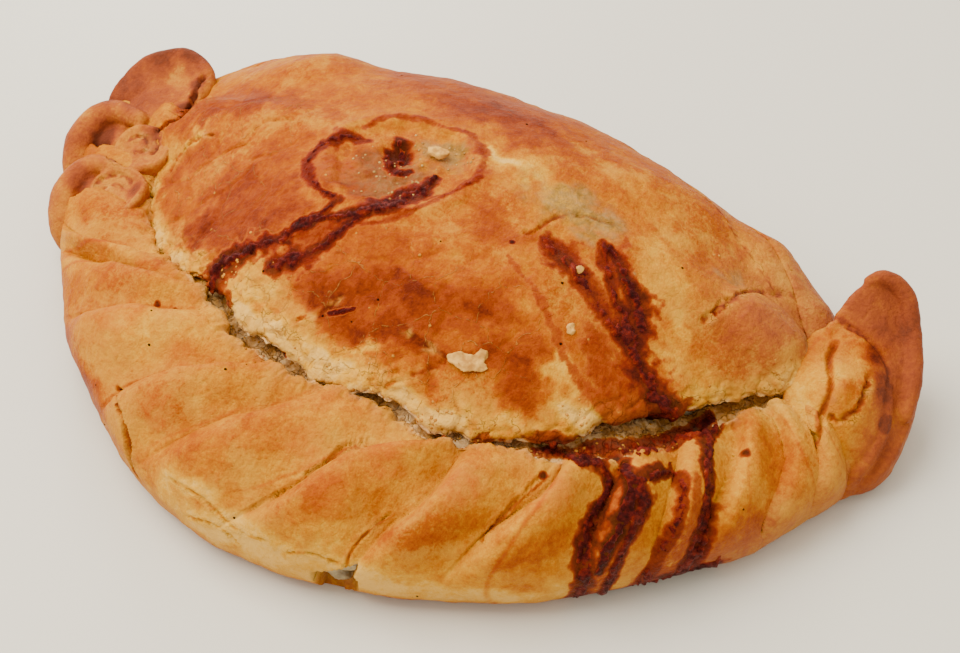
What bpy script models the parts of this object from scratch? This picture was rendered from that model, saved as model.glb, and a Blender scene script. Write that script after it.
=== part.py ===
"""A baked Cornish pasty, lying on its flat base: one crust round one filling.

The crust is a disc of pastry folded in half, so its crimped edge runs round half a circle, from
the left corner past the front (-Y) to the right corner, and the fold makes the bulging back (+Y).
A split runs along the inner side of the crimp. The two corners are folded ends. A small tear low
in the crimp shows the filling, which fills the inside of the crust.

Metres, +Z up. The origin is the centre of the base of the whole. Angles go round the crimp's
centre: 180 degrees is the left corner, 270 the front and 360 the right corner.
"""

import bmesh
import bpy
import numpy as np

MM = 0.001

# Driving dimensions.
CRIMP_RADIUS = 92 * MM  # half the folded disc of pastry
CRIMP_CENTRE = (-1.4 * MM, 35 * MM)
BACK_BULGE = 28 * MM  # how far the fold bulges behind the line between the corners
CORNER_SHIFT = 16 * MM  # the right corner lies this far forward of the left one
DOME_HEIGHT = 44 * MM
RIDGE_HALF = 46 * MM  # half the length of the ridge along the dome's top
RIDGE_Y = -20 * MM  # the ridge lies this far in front of the crimp's centre
CRUST_WALL = 5 * MM
GAP = 0.3 * MM  # between the crust and the filling

# The crimped band: from the split, over a quarter round, to the widest line, then under.
SPLIT_HEIGHT = 25 * MM
CORNER_DROP = 7 * MM  # the split is this much lower at the corners
WIDEST_HEIGHT = 9 * MM
TUCK = 6 * MM  # the base's edge lies this far inside the widest line
ROUNDNESS = 2.3  # exponent of the super-ellipses, where 2 is an ellipse
DOME_EXPONENT = 2.3  # how the dome's front falls from the ridge to the split
BACK_SHARE = 0.88  # share of the way to the back's widest line that belongs to the dome's rows
CORNER_BLEND = 18  # degrees round the crimp over which its split joins the back's line
CORNER_SPREAD = 28  # degrees round the back over which the crimp's shape fades out

# Depths of the relief.
SPLIT_DEPTH = 3.2 * MM
FOLD_RELIEF = 3.2 * MM
FOLD_CREST = 0.32  # the crest's place across a fold, from its upper groove
VENT_DEPTH = 2.0 * MM

# The split's distance from the crimp's centre, at angles round the crimp.
SPLIT_ANGLES = (180, 200, 215, 230, 245, 265, 279, 290, 305, 320, 335, 347, 360)
SPLIT_RADII = [r * MM for r in (74, 71, 69.5, 66, 65, 65, 70, 72, 72, 75, 76, 75, 74)]

# How far the widest line lies outside the crimp's circle, at angles round the crimp.
WIDEST_ANGLES = (180, 200, 215, 230, 245, 260, 275, 290, 320, 340, 360)
WIDEST_OFFSETS = [r * MM for r in (0, -1, -2, 0, 2.5, 4, 2.5, 1, 1, 0, -6)]

# The grooves between the crimp's folds: angle at the split, angle at the widest line.
GROOVES = (
    (192, 186), (203, 194), (218, 201), (231, 207), (237, 220), (252.5, 238), (264, 247), (284, 260),
    (289, 277), (303, 287), (310.5, 303), (320, 311), (331, 317), (339, 326), (346, 334), (354, 343),
)

# The steam vents in the dome: centre from the crimp's centre, radius.
VENTS = (((-11 * MM, -20 * MM), 9 * MM), ((28 * MM, -23 * MM), 7 * MM))

# The curled lumps of pastry: centre from the crimp's centre, half sizes, turn in degrees, the
# heights of underside and rim, the rim's rise with its direction, and the dish inside the rim.
CURLS = (
    ("left_corner", (-79 * MM, 2 * MM), (15 * MM, 10.5 * MM), 22, 4 * MM, 22 * MM, 4 * MM, 75, 1 * MM),
    ("first_fold", (-84 * MM, -15 * MM), (10 * MM, 7.5 * MM), -20, 4 * MM, 19 * MM, 1 * MM, 20, 2 * MM),
    ("second_fold", (-80 * MM, -28 * MM), (11 * MM, 7.5 * MM), -10, 4 * MM, 18.5 * MM, 1 * MM, 20, 2 * MM),
    ("right_corner", (85.5 * MM, -15 * MM), (11 * MM, 20 * MM), 6, 2 * MM, 18 * MM, 9 * MM, 100, 1 * MM),
)
CURL_COLUMNS = 20

# The tear: its angle round the crimp, and its outline as (sideways, up).
TEAR_ANGLE = 275
TEAR_OUTLINE = [
    (x * MM, z * MM) for x, z in ((-5, 7.4), (1, 8.2), (5, 7.2), (3.6, 2.6), (-1.5, 1.9), (-4.4, 3.2))
]
TEAR_FROM = 78 * MM  # the tear's cut and the filling's boss start this far from the crimp's centre
FILLING_RECESS = 2 * MM  # the filling in the tear lies this far inside the widest line

# Columns round the crimp, with one on the back for every few of them, and rows outwards.
FRONT_COLUMNS = 92
BACK_EVERY = 4
DOME_SHARES = (0, 0.22, 0.42, 0.6, 0.76, 0.88, 0.96, 1)
BAND_SHARES = (0.07, 0.2, 0.36, 0.52, 0.68, 0.84, 1)
TUCK_SHARES = (0.5, 1)
FILLING_COLUMNS = 36
OUTLINE_STEPS = 720  # steps round an outline when a share of the way to it is looked up


def smooth(x, low, high):
    """0 below low and 1 above high, with a soft step between."""
    t = np.clip((x - low) / (high - low), 0.0, 1.0)
    return t * t * (3 - 2 * t)


def material(name, colour, roughness):
    """A Principled BSDF of one colour."""
    made = bpy.data.materials.new(name)
    made.use_nodes = True
    shader = made.node_tree.nodes["Principled BSDF"]
    shader.inputs["Base Color"].default_value = (*colour, 1.0)
    shader.inputs["Roughness"].default_value = roughness
    made.diffuse_color = (*colour, 1.0)
    return made


def new_object(name, mesh, finish):
    """An object that shows this mesh in this material."""
    made = bpy.data.objects.new(name, mesh)
    made.data.materials.append(finish)
    bpy.context.scene.collection.objects.link(made)
    return made


def as_cutter(cutter):
    """Hides an object that only shapes another one."""
    cutter.hide_render = True
    cutter.display_type = "WIRE"


def combine(target, other, operation):
    """Adds or cuts another object, with an exact Boolean, and hides it."""
    modifier = target.modifiers.new(other.name, "BOOLEAN")
    modifier.operation = operation
    modifier.solver = "EXACT"
    modifier.object = other
    as_cutter(other)


# --- the pasty's surface ---------------------------------------------------------------------


def plan_lines(angles, inset):
    """The ridge, the split and the widest line in plan, at angles round the crimp, in radians."""
    across, along = np.cos(angles), np.sin(angles)
    front = (along <= 1e-9)[:, None]
    degrees = np.degrees(angles) % 360
    degrees[front[:, 0] & (degrees < 180)] += 360
    shift = CORNER_SHIFT * smooth(degrees, 330, 360)
    radius = CRIMP_RADIUS + np.interp(degrees, WIDEST_ANGLES, WIDEST_OFFSETS) - inset
    crimp = np.stack([radius * across, radius * along - shift], 1)
    reach = CRIMP_RADIUS + WIDEST_OFFSETS[-1] * np.clip((across - 0.7) / 0.3, 0, 1) - inset
    bulge = (BACK_BULGE - inset) * along**2 - CORNER_SHIFT * ((1 + across) / 2) ** 3
    widest = np.where(front, crimp, np.stack([reach * across, bulge], 1))
    ridge = np.stack([RIDGE_HALF * across, np.full_like(angles, RIDGE_Y)], 1)
    inner = np.interp(degrees, SPLIT_ANGLES, SPLIT_RADII) - 0.6 * inset
    lip = np.stack([inner * across, inner * along - shift], 1)
    middle = np.array([0.0, RIDGE_Y])
    back_split = middle + (widest - middle) * BACK_SHARE
    along_crimp = np.minimum(degrees - 180, 360 - degrees)
    opening = smooth(along_crimp, 0, CORNER_BLEND)[:, None]
    split = np.where(front, lip * opening + back_split * (1 - opening), back_split)
    return ridge, split, widest


def from_middle(points):
    """The direction, in radians, and the distance of plan points from the ridge's middle."""
    x, y = points[:, 0], points[:, 1] - RIDGE_Y
    return np.arctan2(y, x), np.hypot(x, y)


def share_of_way(points, outline):
    """How far plan points lie on the way from the ridge's middle to an outline, where 1 is on it."""
    directions, distances = from_middle(outline)
    order = np.argsort(directions)
    direction, distance = from_middle(points)
    return distance / np.interp(direction, directions[order], distances[order], period=2 * np.pi)


def crimp_weight(points):
    """1 where the side is crimped and 0 on the smooth back, with a fade round each corner."""
    right, left = from_middle(np.array([[CRIMP_RADIUS, -CORNER_SHIFT], [-CRIMP_RADIUS, 0.0]]))[0]
    direction = from_middle(points)[0]
    past = np.degrees(np.minimum(direction - right, left - direction))
    return 1 - smooth(past, 0, CORNER_SPREAD)


def side_height(points, outlines, inset):
    """The height of the smooth back's surface over plan points."""
    way = np.clip(share_of_way(points, outlines[1]), 0, 1)
    top = DOME_HEIGHT - inset
    return WIDEST_HEIGHT + (top - WIDEST_HEIGHT) * (1 - way**ROUNDNESS) ** (1 / ROUNDNESS)


def shoulder_height(points, inset):
    """The height of the split over plan points, lower towards the corners."""
    return SPLIT_HEIGHT - inset - CORNER_DROP * smooth(np.abs(np.cos(from_middle(points)[0])), 0.8, 1.0)


def dome_height(points, outlines, inset):
    """The height of the dome over plan points, before the vents."""
    fall = share_of_way(points, outlines[0]) ** DOME_EXPONENT
    shoulder = shoulder_height(points, inset)
    front = shoulder + (DOME_HEIGHT - inset - shoulder) * (1 - fall)
    weight = crimp_weight(points)
    return front * weight + side_height(points, outlines, inset) * (1 - weight)


def profile_rows(angles, inset):
    """The rows of points from the ridge to the base's edge, each as (plan, height, band share).

    A row's band share is 0 up to the split, then runs to 1 at the widest line and past it."""
    ridge, split, widest = plan_lines(angles, inset)
    round_crimp = np.linspace(0, 2 * np.pi, OUTLINE_STEPS, endpoint=False)
    outlines = plan_lines(round_crimp, inset)[1:]
    weight = crimp_weight(split)
    shoulder = shoulder_height(split, inset)
    quarter, power = np.pi / 2, 2 / ROUNDNESS

    def mixed(front, back):
        """The crimped side's values and the smooth back's, mixed column by column."""
        share = weight if front.ndim == 1 else weight[:, None]
        return front * share + back * (1 - share)

    rows = []
    for share in DOME_SHARES:
        plan = mixed(ridge + (split - ridge) * share, ridge + (widest - ridge) * share * BACK_SHARE)
        rows.append((plan, dome_height(plan, outlines, inset), 0.0))
    for share in BAND_SHARES:
        reach, lift = np.sin(quarter * share) ** power, max(np.cos(quarter * share), 0.0) ** power
        crimp = split + (widest - split) * reach
        back = ridge + (widest - ridge) * (BACK_SHARE + (1 - BACK_SHARE) * np.sin(quarter * share))
        height = WIDEST_HEIGHT + (shoulder - WIDEST_HEIGHT) * lift
        rows.append((mixed(crimp, back), mixed(height, side_height(back, outlines, inset)), share))
    for share in TUCK_SHARES:
        tuck = 1 - (TUCK / CRIMP_RADIUS) * (1 - np.cos(quarter * share))
        height = inset + (WIDEST_HEIGHT - inset) * (1 - np.sin(quarter * share))
        rows.append((widest * tuck, np.full(len(angles), height), 1 + share))
    return rows


def fold_relief(degrees, share):
    """How far the crimp's folds stand out at an angle and a band share, in metres."""
    slide = np.clip(share, 0, 1) ** 0.9
    lines = np.array([inner + (outer - inner) * slide for inner, outer in GROOVES])
    order = np.searchsorted(lines, degrees) - 1
    inside = (order >= 0) & (order < len(lines) - 1)
    order = np.clip(order, 0, len(lines) - 2)
    across = (degrees - lines[order]) / (lines[order + 1] - lines[order])
    across = np.clip(across, 0, 1)
    rise = np.sin(np.pi / 2 * np.clip(across / FOLD_CREST, 0, 1)) ** 0.8
    fall = 1 - smooth(across, FOLD_CREST, 1.0)
    strength = smooth(share, -0.1, 0.3) * (1 - 0.85 * smooth(share, 0.55, 1.5))
    return np.where(inside, FOLD_RELIEF * strength * (rise * fall - 0.4), 0.0)


def vent_dip(x, y):
    """How deep the steam vents sink the dome, in metres."""
    dip = np.zeros_like(x)
    for (vent_x, vent_y), radius in VENTS:
        distance = np.hypot(x - vent_x, y - vent_y) / radius
        dip = dip + VENT_DEPTH * np.exp(-(distance**2) * 1.6)
    return dip


def pasty_mesh(name, front_columns, back_every, inset, relief):
    """A closed mesh of the pasty, or of an even inset inside it.

    Columns of points run from the ridge along the top, over the side and under to the ridge's
    line on the base. The back has one column for every few of the front's."""
    front = np.linspace(np.pi, 2 * np.pi, front_columns + 1)
    back = (2 * np.pi - front)[::back_every][1:-1]
    angles = np.concatenate([front, back[::-1]])
    rows = profile_rows(angles, inset)
    ridge = plan_lines(angles, inset)[0]
    degrees = np.degrees(angles)
    folded = smooth(degrees, 180, 186) * (1 - smooth(degrees, 354, 360))
    count = len(angles)
    points = []
    for index, (plan, height, share) in enumerate(rows):
        x, y, z = plan[:, 0].copy(), plan[:, 1].copy(), height.copy()
        if relief:
            z -= vent_dip(x, y) * (share == 0.0)
            if index == len(DOME_SHARES) - 1:
                z -= SPLIT_DEPTH * folded
            if share > 0:
                out = np.array([fold_relief(d, share) for d in degrees]) * folded
                tilt = np.pi / 2 * min(share, 1.0)
                x += out * np.cos(angles) * np.sin(tilt)
                y += out * np.sin(angles) * np.sin(tilt)
                z += out * np.cos(tilt)
                z = np.maximum(z, inset) if share < 2 else z
        points.append(np.stack([x, y, z], 1))
    floor = rows[-1][0]
    points.append(np.column_stack([(floor + ridge) / 2, np.full(count, inset)]))
    points.append(np.column_stack([ridge, np.full(count, inset)]))

    bm = bmesh.new()
    centre_x, centre_y = CRIMP_CENTRE
    shown = front_columns + 1  # the back's ends of the two ridge rows lie on the front's
    grid = []
    for index, row in enumerate(points):
        ridge_row = index in (0, len(points) - 1)
        kept = row[:shown] if ridge_row else row
        grid.append([bm.verts.new((x + centre_x, y + centre_y, z)) for x, y, z in kept])

    def ridge_run(row, column):
        """The vertices of a ridge row between a column and the next one, the first one first."""
        if column < front_columns:
            return [row[column], row[column + 1]]
        start = front_columns - back_every * (column - front_columns)
        return [row[start - k] for k in range(back_every + 1)]

    for upper, lower in zip(grid, grid[1:]):
        for column in range(count):
            after = (column + 1) % count
            top_run = ridge_run(upper, column) if upper is grid[0] else [upper[column], upper[after]]
            low_run = ridge_run(lower, column) if lower is grid[-1] else [lower[column], lower[after]]
            bm.faces.new(low_run + top_run[::-1])
    bmesh.ops.recalc_face_normals(bm, faces=bm.faces[:])
    # Fixed diagonals keep the filling's faces parallel to the cavity's.
    bmesh.ops.triangulate(bm, faces=bm.faces[:], quad_method="FIXED")
    mesh = bpy.data.meshes.new(name)
    bm.to_mesh(mesh)
    bm.free()
    mesh.shade_smooth()
    return mesh


# --- the folded corners and the first curled folds ---------------------------------------------


def curl_mesh(name, centre, half_sizes, turn, heights, slant):
    """A closed lump of folded pastry, such as a corner's curled end.

    Its outline is an ellipse turned by some degrees. Its heights are of its underside, of its rim,
    and of the dish inside the rim. The slant is how much the rim rises, and in which direction."""
    low, rim, dish = heights
    rise, rise_at = slant
    columns = CURL_COLUMNS
    turned = np.radians(turn)
    around = np.linspace(0, 2 * np.pi, columns, endpoint=False)
    crest = rim + rise * np.cos(around - np.radians(rise_at) + turned)
    waist = (low + crest) / 2
    rows = [
        (0.34, crest - 0.8 * dish),
        (0.62, crest),
        (0.86, crest - 0.22 * (crest - waist)),
        (1.0, waist),
        (0.9, low + 0.3 * (waist - low)),
        (0.7, np.full(columns, low)),
    ]
    middle_x, middle_y = centre[0] + CRIMP_CENTRE[0], centre[1] + CRIMP_CENTRE[1]
    bm = bmesh.new()
    rings = []
    for share, z in rows:
        across, along = half_sizes[0] * share * np.cos(around), half_sizes[1] * share * np.sin(around)
        x = middle_x + across * np.cos(turned) - along * np.sin(turned)
        y = middle_y + across * np.sin(turned) + along * np.cos(turned)
        rings.append([bm.verts.new(point) for point in zip(x, y, z)])
    for upper, lower in zip(rings, rings[1:]):
        for column in range(columns):
            after = (column + 1) % columns
            bm.faces.new((lower[column], lower[after], upper[after], upper[column]))
    for ring, height in ((rings[0], rim - dish), (rings[-1], low)):
        pole = bm.verts.new((middle_x, middle_y, height))
        for column in range(columns):
            bm.faces.new((ring[column], ring[(column + 1) % columns], pole))
    bmesh.ops.recalc_face_normals(bm, faces=bm.faces[:])
    mesh = bpy.data.meshes.new(name)
    bm.to_mesh(mesh)
    bm.free()
    mesh.shade_smooth()
    return mesh


def curls(finish):
    """The curled ends at the two corners, and the two curled folds next to the left one."""
    for name, centre, half_sizes, turn, low, rim, rise, rise_at, dish in CURLS:
        mesh = curl_mesh(name, centre, half_sizes, turn, (low, rim, dish), (rise, rise_at))
        yield new_object(name, mesh, finish)


# --- the tear and the filling ------------------------------------------------------------------


def tear_prism(name, start, end, grow, finish):
    """A prism of the tear's outline, along the line out from the crimp's centre."""
    direction = np.radians(TEAR_ANGLE)
    out = np.array([np.cos(direction), np.sin(direction), 0.0])
    side = np.array([-np.sin(direction), np.cos(direction), 0.0])
    up = np.array([0.0, 0.0, 1.0])
    outline = np.array(TEAR_OUTLINE)
    middle = outline.mean(axis=0)
    spread = np.linalg.norm(outline - middle, axis=1, keepdims=True)
    outline = middle + (outline - middle) * (1 + grow / spread)
    base = np.array([*CRIMP_CENTRE, 0.0])
    bm = bmesh.new()
    ends = []
    for distance in (start, end):
        ends.append([bm.verts.new(base + out * distance + side * x + up * z) for x, z in outline])
    bm.faces.new(ends[0])
    bm.faces.new(ends[1])
    for index in range(len(outline)):
        after = (index + 1) % len(outline)
        bm.faces.new((ends[0][index], ends[0][after], ends[1][after], ends[1][index]))
    bmesh.ops.recalc_face_normals(bm, faces=bm.faces[:])
    mesh = bpy.data.meshes.new(name)
    bm.to_mesh(mesh)
    bm.free()
    return new_object(name, mesh, finish)


def build():
    """Builds the crust and the filling."""
    for obj in list(bpy.data.objects):
        bpy.data.objects.remove(obj, do_unlink=True)
    pastry = material("baked_pastry", (0.50, 0.20, 0.06), 0.45)
    stuffing = material("potato_and_beef", (0.52, 0.44, 0.30), 0.5)

    crust = new_object("crust", pasty_mesh("crust", FRONT_COLUMNS, BACK_EVERY, 0.0, True), pastry)
    for curl in curls(pastry):
        combine(crust, curl, "UNION")
    cavity = pasty_mesh("cavity", FILLING_COLUMNS, BACK_EVERY, CRUST_WALL, False)
    combine(crust, new_object("cavity", cavity, stuffing), "DIFFERENCE")
    tear = tear_prism("tear", TEAR_FROM, CRIMP_RADIUS + 2 * TUCK, 0.0, pastry)
    combine(crust, tear, "DIFFERENCE")

    core = pasty_mesh("filling", FILLING_COLUMNS, BACK_EVERY, CRUST_WALL + GAP, False)
    filling = new_object("filling", core, stuffing)
    reach = CRIMP_RADIUS - FILLING_RECESS
    boss = tear_prism("boss", TEAR_FROM + GAP, reach, -GAP * 1.5, stuffing)
    combine(filling, boss, "UNION")


build()
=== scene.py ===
"""The looks of a baked Cornish pasty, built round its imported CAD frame.

The pastry is made as it is in the kitchen: a filled dome folded over, a crimp rolled along its
front like a rope, and two curled corners. On it lie baked-on gravy, flakes and crumbs, and a small
tear low in the crimp shows the filling. Sizes in the classes are millimetres in the frame's axes,
and a mesh is turned to metres when it is made.
"""

from __future__ import annotations

import itertools
import logging
from dataclasses import dataclass, field
from enum import Enum
from typing import Iterable, Sequence

import bpy
import numpy as np
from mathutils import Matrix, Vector

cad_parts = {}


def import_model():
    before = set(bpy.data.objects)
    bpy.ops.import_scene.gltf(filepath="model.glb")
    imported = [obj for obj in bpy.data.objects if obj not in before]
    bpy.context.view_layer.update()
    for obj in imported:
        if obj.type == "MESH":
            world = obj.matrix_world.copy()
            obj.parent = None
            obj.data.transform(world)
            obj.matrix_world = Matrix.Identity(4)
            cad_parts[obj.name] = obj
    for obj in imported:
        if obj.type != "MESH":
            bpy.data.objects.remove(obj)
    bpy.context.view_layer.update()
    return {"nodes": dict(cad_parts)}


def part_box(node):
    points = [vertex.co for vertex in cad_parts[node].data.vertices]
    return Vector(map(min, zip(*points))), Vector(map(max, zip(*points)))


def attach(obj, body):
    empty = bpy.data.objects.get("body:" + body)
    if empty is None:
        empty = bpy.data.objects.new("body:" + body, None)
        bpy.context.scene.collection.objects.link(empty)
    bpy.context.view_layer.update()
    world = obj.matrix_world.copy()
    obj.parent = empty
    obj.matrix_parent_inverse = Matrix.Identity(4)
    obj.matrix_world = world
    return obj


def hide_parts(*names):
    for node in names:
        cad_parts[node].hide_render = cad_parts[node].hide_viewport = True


LOG = logging.getLogger("pasty")
MM = 0.001
BODY = "root"
FRAY = 0.28

Points = np.ndarray
Piece = bpy.types.Object
Socket = bpy.types.NodeSocket
Values = np.ndarray


class Part(Enum):
    """The parts of the crust, which are baked and cracked differently."""

    DOME = "dome"
    CRIMP = "crimp"
    CORNER = "corner"


# --- small helpers -----------------------------------------------------------------------------


def smooth(x: Values, low: float, high: float) -> Values:
    """0 below low and 1 above high, with a soft step between.

    Args:
        x: The values to step.
        low: Where the step starts.
        high: Where the step ends.

    Returns:
        The stepped values.
    """
    t = np.clip((np.asarray(x, float) - low) / (high - low), 0.0, 1.0)
    return t * t * (3 - 2 * t)


def between(x: Values, a: float, b: float, c: float, d: float) -> Values:
    """1 from b to c and 0 outside a to d, with soft steps."""
    return smooth(x, a, b) * (1 - smooth(x, c, d))


def faded(distance: Values, low: float = 0.45, high: float = 1.15) -> Values:
    """How much of a soft patch is left at a distance, where 1 is its reach."""
    return 1 - smooth(distance, low, high)


def listed(kind: type, *values: tuple) -> tuple:
    """Things of one kind, each from a row of its values in the order of its fields."""
    return tuple(kind(*row) for row in values)


def linear(code: str) -> tuple[float, float, float, float]:
    """The linear colour, with alpha, of an sRGB hex code such as C98A3E."""
    parts = [int(code[i : i + 2], 16) / 255 for i in (0, 2, 4)]
    light = [c / 12.92 if c <= 0.04045 else ((c + 0.055) / 1.055) ** 2.4 for c in parts]
    return (*light, 1.0)


def curve_through(stops: Sequence[Sequence[float]], count: int) -> Points:
    """Points on a smooth curve (Catmull-Rom) through the stops.

    Args:
        stops: The points that the curve goes through, with any number of values each.
        count: How many points to return, evenly spread over the stops.

    Returns:
        An array of count rows.
    """
    p = np.array(stops, float)
    p = np.vstack([2 * p[0] - p[1], p, 2 * p[-1] - p[-2]])
    t = np.linspace(0, len(stops) - 1 - 1e-9, count)
    i = np.floor(t).astype(int)
    f = (t - i)[:, None]
    a, b, c, d = p[i], p[i + 1], p[i + 2], p[i + 3]
    return 0.5 * (2 * b + (c - a) * f + (2 * a - 5 * b + 4 * c - d) * f**2 + (3 * b - a - 3 * c + d) * f**3)


def along_path(points: Points, path: Points, reach: float = 9.0) -> tuple[Values, Values]:
    """How far points are from a path, and how far along it its nearest place is.

    Args:
        points: The points to measure.
        path: The path's corners in order.
        reach: Points further than this from the path's box are only given a large distance.

    Returns:
        The distances, and the shares of the path's corners passed, from 0 to 1.
    """
    distances = np.full(len(points), 1e6)
    where = np.zeros(len(points))
    near = np.all((points > path.min(axis=0) - reach) & (points < path.max(axis=0) + reach), axis=1)
    near = np.flatnonzero(near)
    close = points[near]
    best = np.full(len(close), 1e6)
    place = np.zeros(len(close))
    for index, (start, end) in enumerate(zip(path, path[1:])):
        step = end - start
        share = np.clip(((close - start) @ step) / max(step @ step, 1e-9), 0, 1)
        distance = np.linalg.norm(close - start - share[:, None] * step, axis=1)
        nearer = distance < best
        best[nearer] = distance[nearer]
        place[nearer] = (index + share[nearer]) / (len(path) - 1)
    distances[near] = best
    where[near] = place
    return distances, where


class Grain:
    """Seeded noise over points in millimetres."""

    def __init__(self, seed: int) -> None:
        """Draws the lattice.

        Args:
            seed: The seed of the lattice.
        """
        draw = np.random.default_rng(seed)
        self.order = np.tile(draw.permutation(256), 2)
        slopes = draw.normal(size=(256, 3))
        self.slopes = slopes / np.linalg.norm(slopes, axis=1, keepdims=True)
        self.places = draw.random((256, 3))

    def _hash(self, cell: np.ndarray) -> np.ndarray:
        """The lattice's number at whole-number cells."""
        x, y, z = (cell & 255).T
        return self.order[self.order[self.order[x] + y] + z]

    def soft(self, points: Points, size: float) -> Values:
        """Smooth noise from about -1 to 1 whose features are size millimetres across."""
        place = points / size
        cell = np.floor(place).astype(int)
        part = place - cell
        ease = part**3 * (part * (part * 6 - 15) + 10)
        total = np.zeros(len(points))
        for corner in itertools.product((0, 1), repeat=3):
            step = np.array(corner)
            slope = self.slopes[self._hash(cell + step)]
            weight = np.prod(np.where(step, ease, 1 - ease), axis=1)
            total += weight * np.einsum("ij,ij->i", slope, part - step)
        return total * 1.6

    def rough(self, points: Points, size: float, octaves: int = 4, gain: float = 0.5) -> Values:
        """Noise with finer and weaker layers added, each half the size of the last."""
        total = np.zeros(len(points))
        for octave in range(octaves):
            total += self.soft(points + 37.1 * octave, size / 2**octave) * gain**octave
        return total

    def bend(self, points: Points, size: float, shifts: Sequence[float]) -> Points:
        """Rough noise in each of three directions."""
        return np.column_stack([self.rough(points + shift, size, 3) for shift in shifts])

    def cells(self, points: Points, size: float) -> tuple[Values, Values]:
        """Cellular noise.

        Args:
            points: The points to look up.
            size: The cells' size in millimetres.

        Returns:
            The distance to the nearest border between cells, in millimetres, and a number from 0
            to 1 for each cell.
        """
        place = points / size
        cell = np.floor(place).astype(int)
        first = np.full(len(points), 9.0)
        second = np.full(len(points), 9.0)
        name = np.zeros(len(points))
        for corner in itertools.product((-1, 0, 1), repeat=3):
            there = cell + np.array(corner)
            code = self._hash(there)
            distance = np.linalg.norm(there + self.places[code] - place, axis=1)
            closer = distance < first
            second = np.where(closer, first, np.minimum(second, distance))
            name = np.where(closer, code / 255, name)
            first = np.where(closer, distance, first)
        return (second - first) * size / 2, name


def grid_normals(grid: Points, closed: bool) -> Points:
    """The outward normals of a grid of points.

    Args:
        grid: Points as rows, columns and coordinates, rows downwards and columns anticlockwise.
        closed: Whether the last column meets the first.

    Returns:
        Unit normals in the grid's shape.
    """
    down = np.gradient(grid, axis=0)
    if closed:
        across = np.roll(grid, -1, axis=1) - np.roll(grid, 1, axis=1)
    else:
        across = np.gradient(grid, axis=1)
    normal = np.cross(down, across)
    length = np.linalg.norm(normal, axis=2, keepdims=True)
    return normal / np.maximum(length, 1e-9)


def new_piece(
    name: str, points: Points, faces: Iterable[Sequence[int]], marks: dict[str, Values] | None = None
) -> Piece:
    """A smooth-shaded object from points in millimetres.

    Args:
        name: The piece's name.
        points: Its points in millimetres.
        faces: Its faces as runs of point numbers.
        marks: Values for each point, stored as attributes for the finish to read.

    Returns:
        The new object, linked to the scene.
    """
    mesh = bpy.data.meshes.new(name)
    mesh.from_pydata((np.asarray(points) * MM).tolist(), [], [list(f) for f in faces])
    for mark, values in (marks or {}).items():
        layer = mesh.attributes.new(mark, "FLOAT", "POINT")
        layer.data.foreach_set("value", np.asarray(values, np.float32))
    mesh.shade_smooth()
    made = bpy.data.objects.new(name, mesh)
    bpy.context.scene.collection.objects.link(made)
    return made


def points_of(mesh: bpy.types.Mesh) -> tuple[Points, Points]:
    """A mesh's points, in millimetres, and their normals."""
    flat = np.zeros(len(mesh.vertices) * 3)
    mesh.vertices.foreach_get("co", flat)
    points = flat.reshape(-1, 3) / MM
    mesh.vertex_normals.foreach_get("vector", flat)
    return points, flat.reshape(-1, 3).copy()


def report(piece: Piece) -> None:
    """Logs a finished piece's name and size."""
    LOG.info("%s: %d points, %d faces", piece.name, len(piece.data.vertices), len(piece.data.polygons))


# --- the pasty's form --------------------------------------------------------------------------


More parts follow.
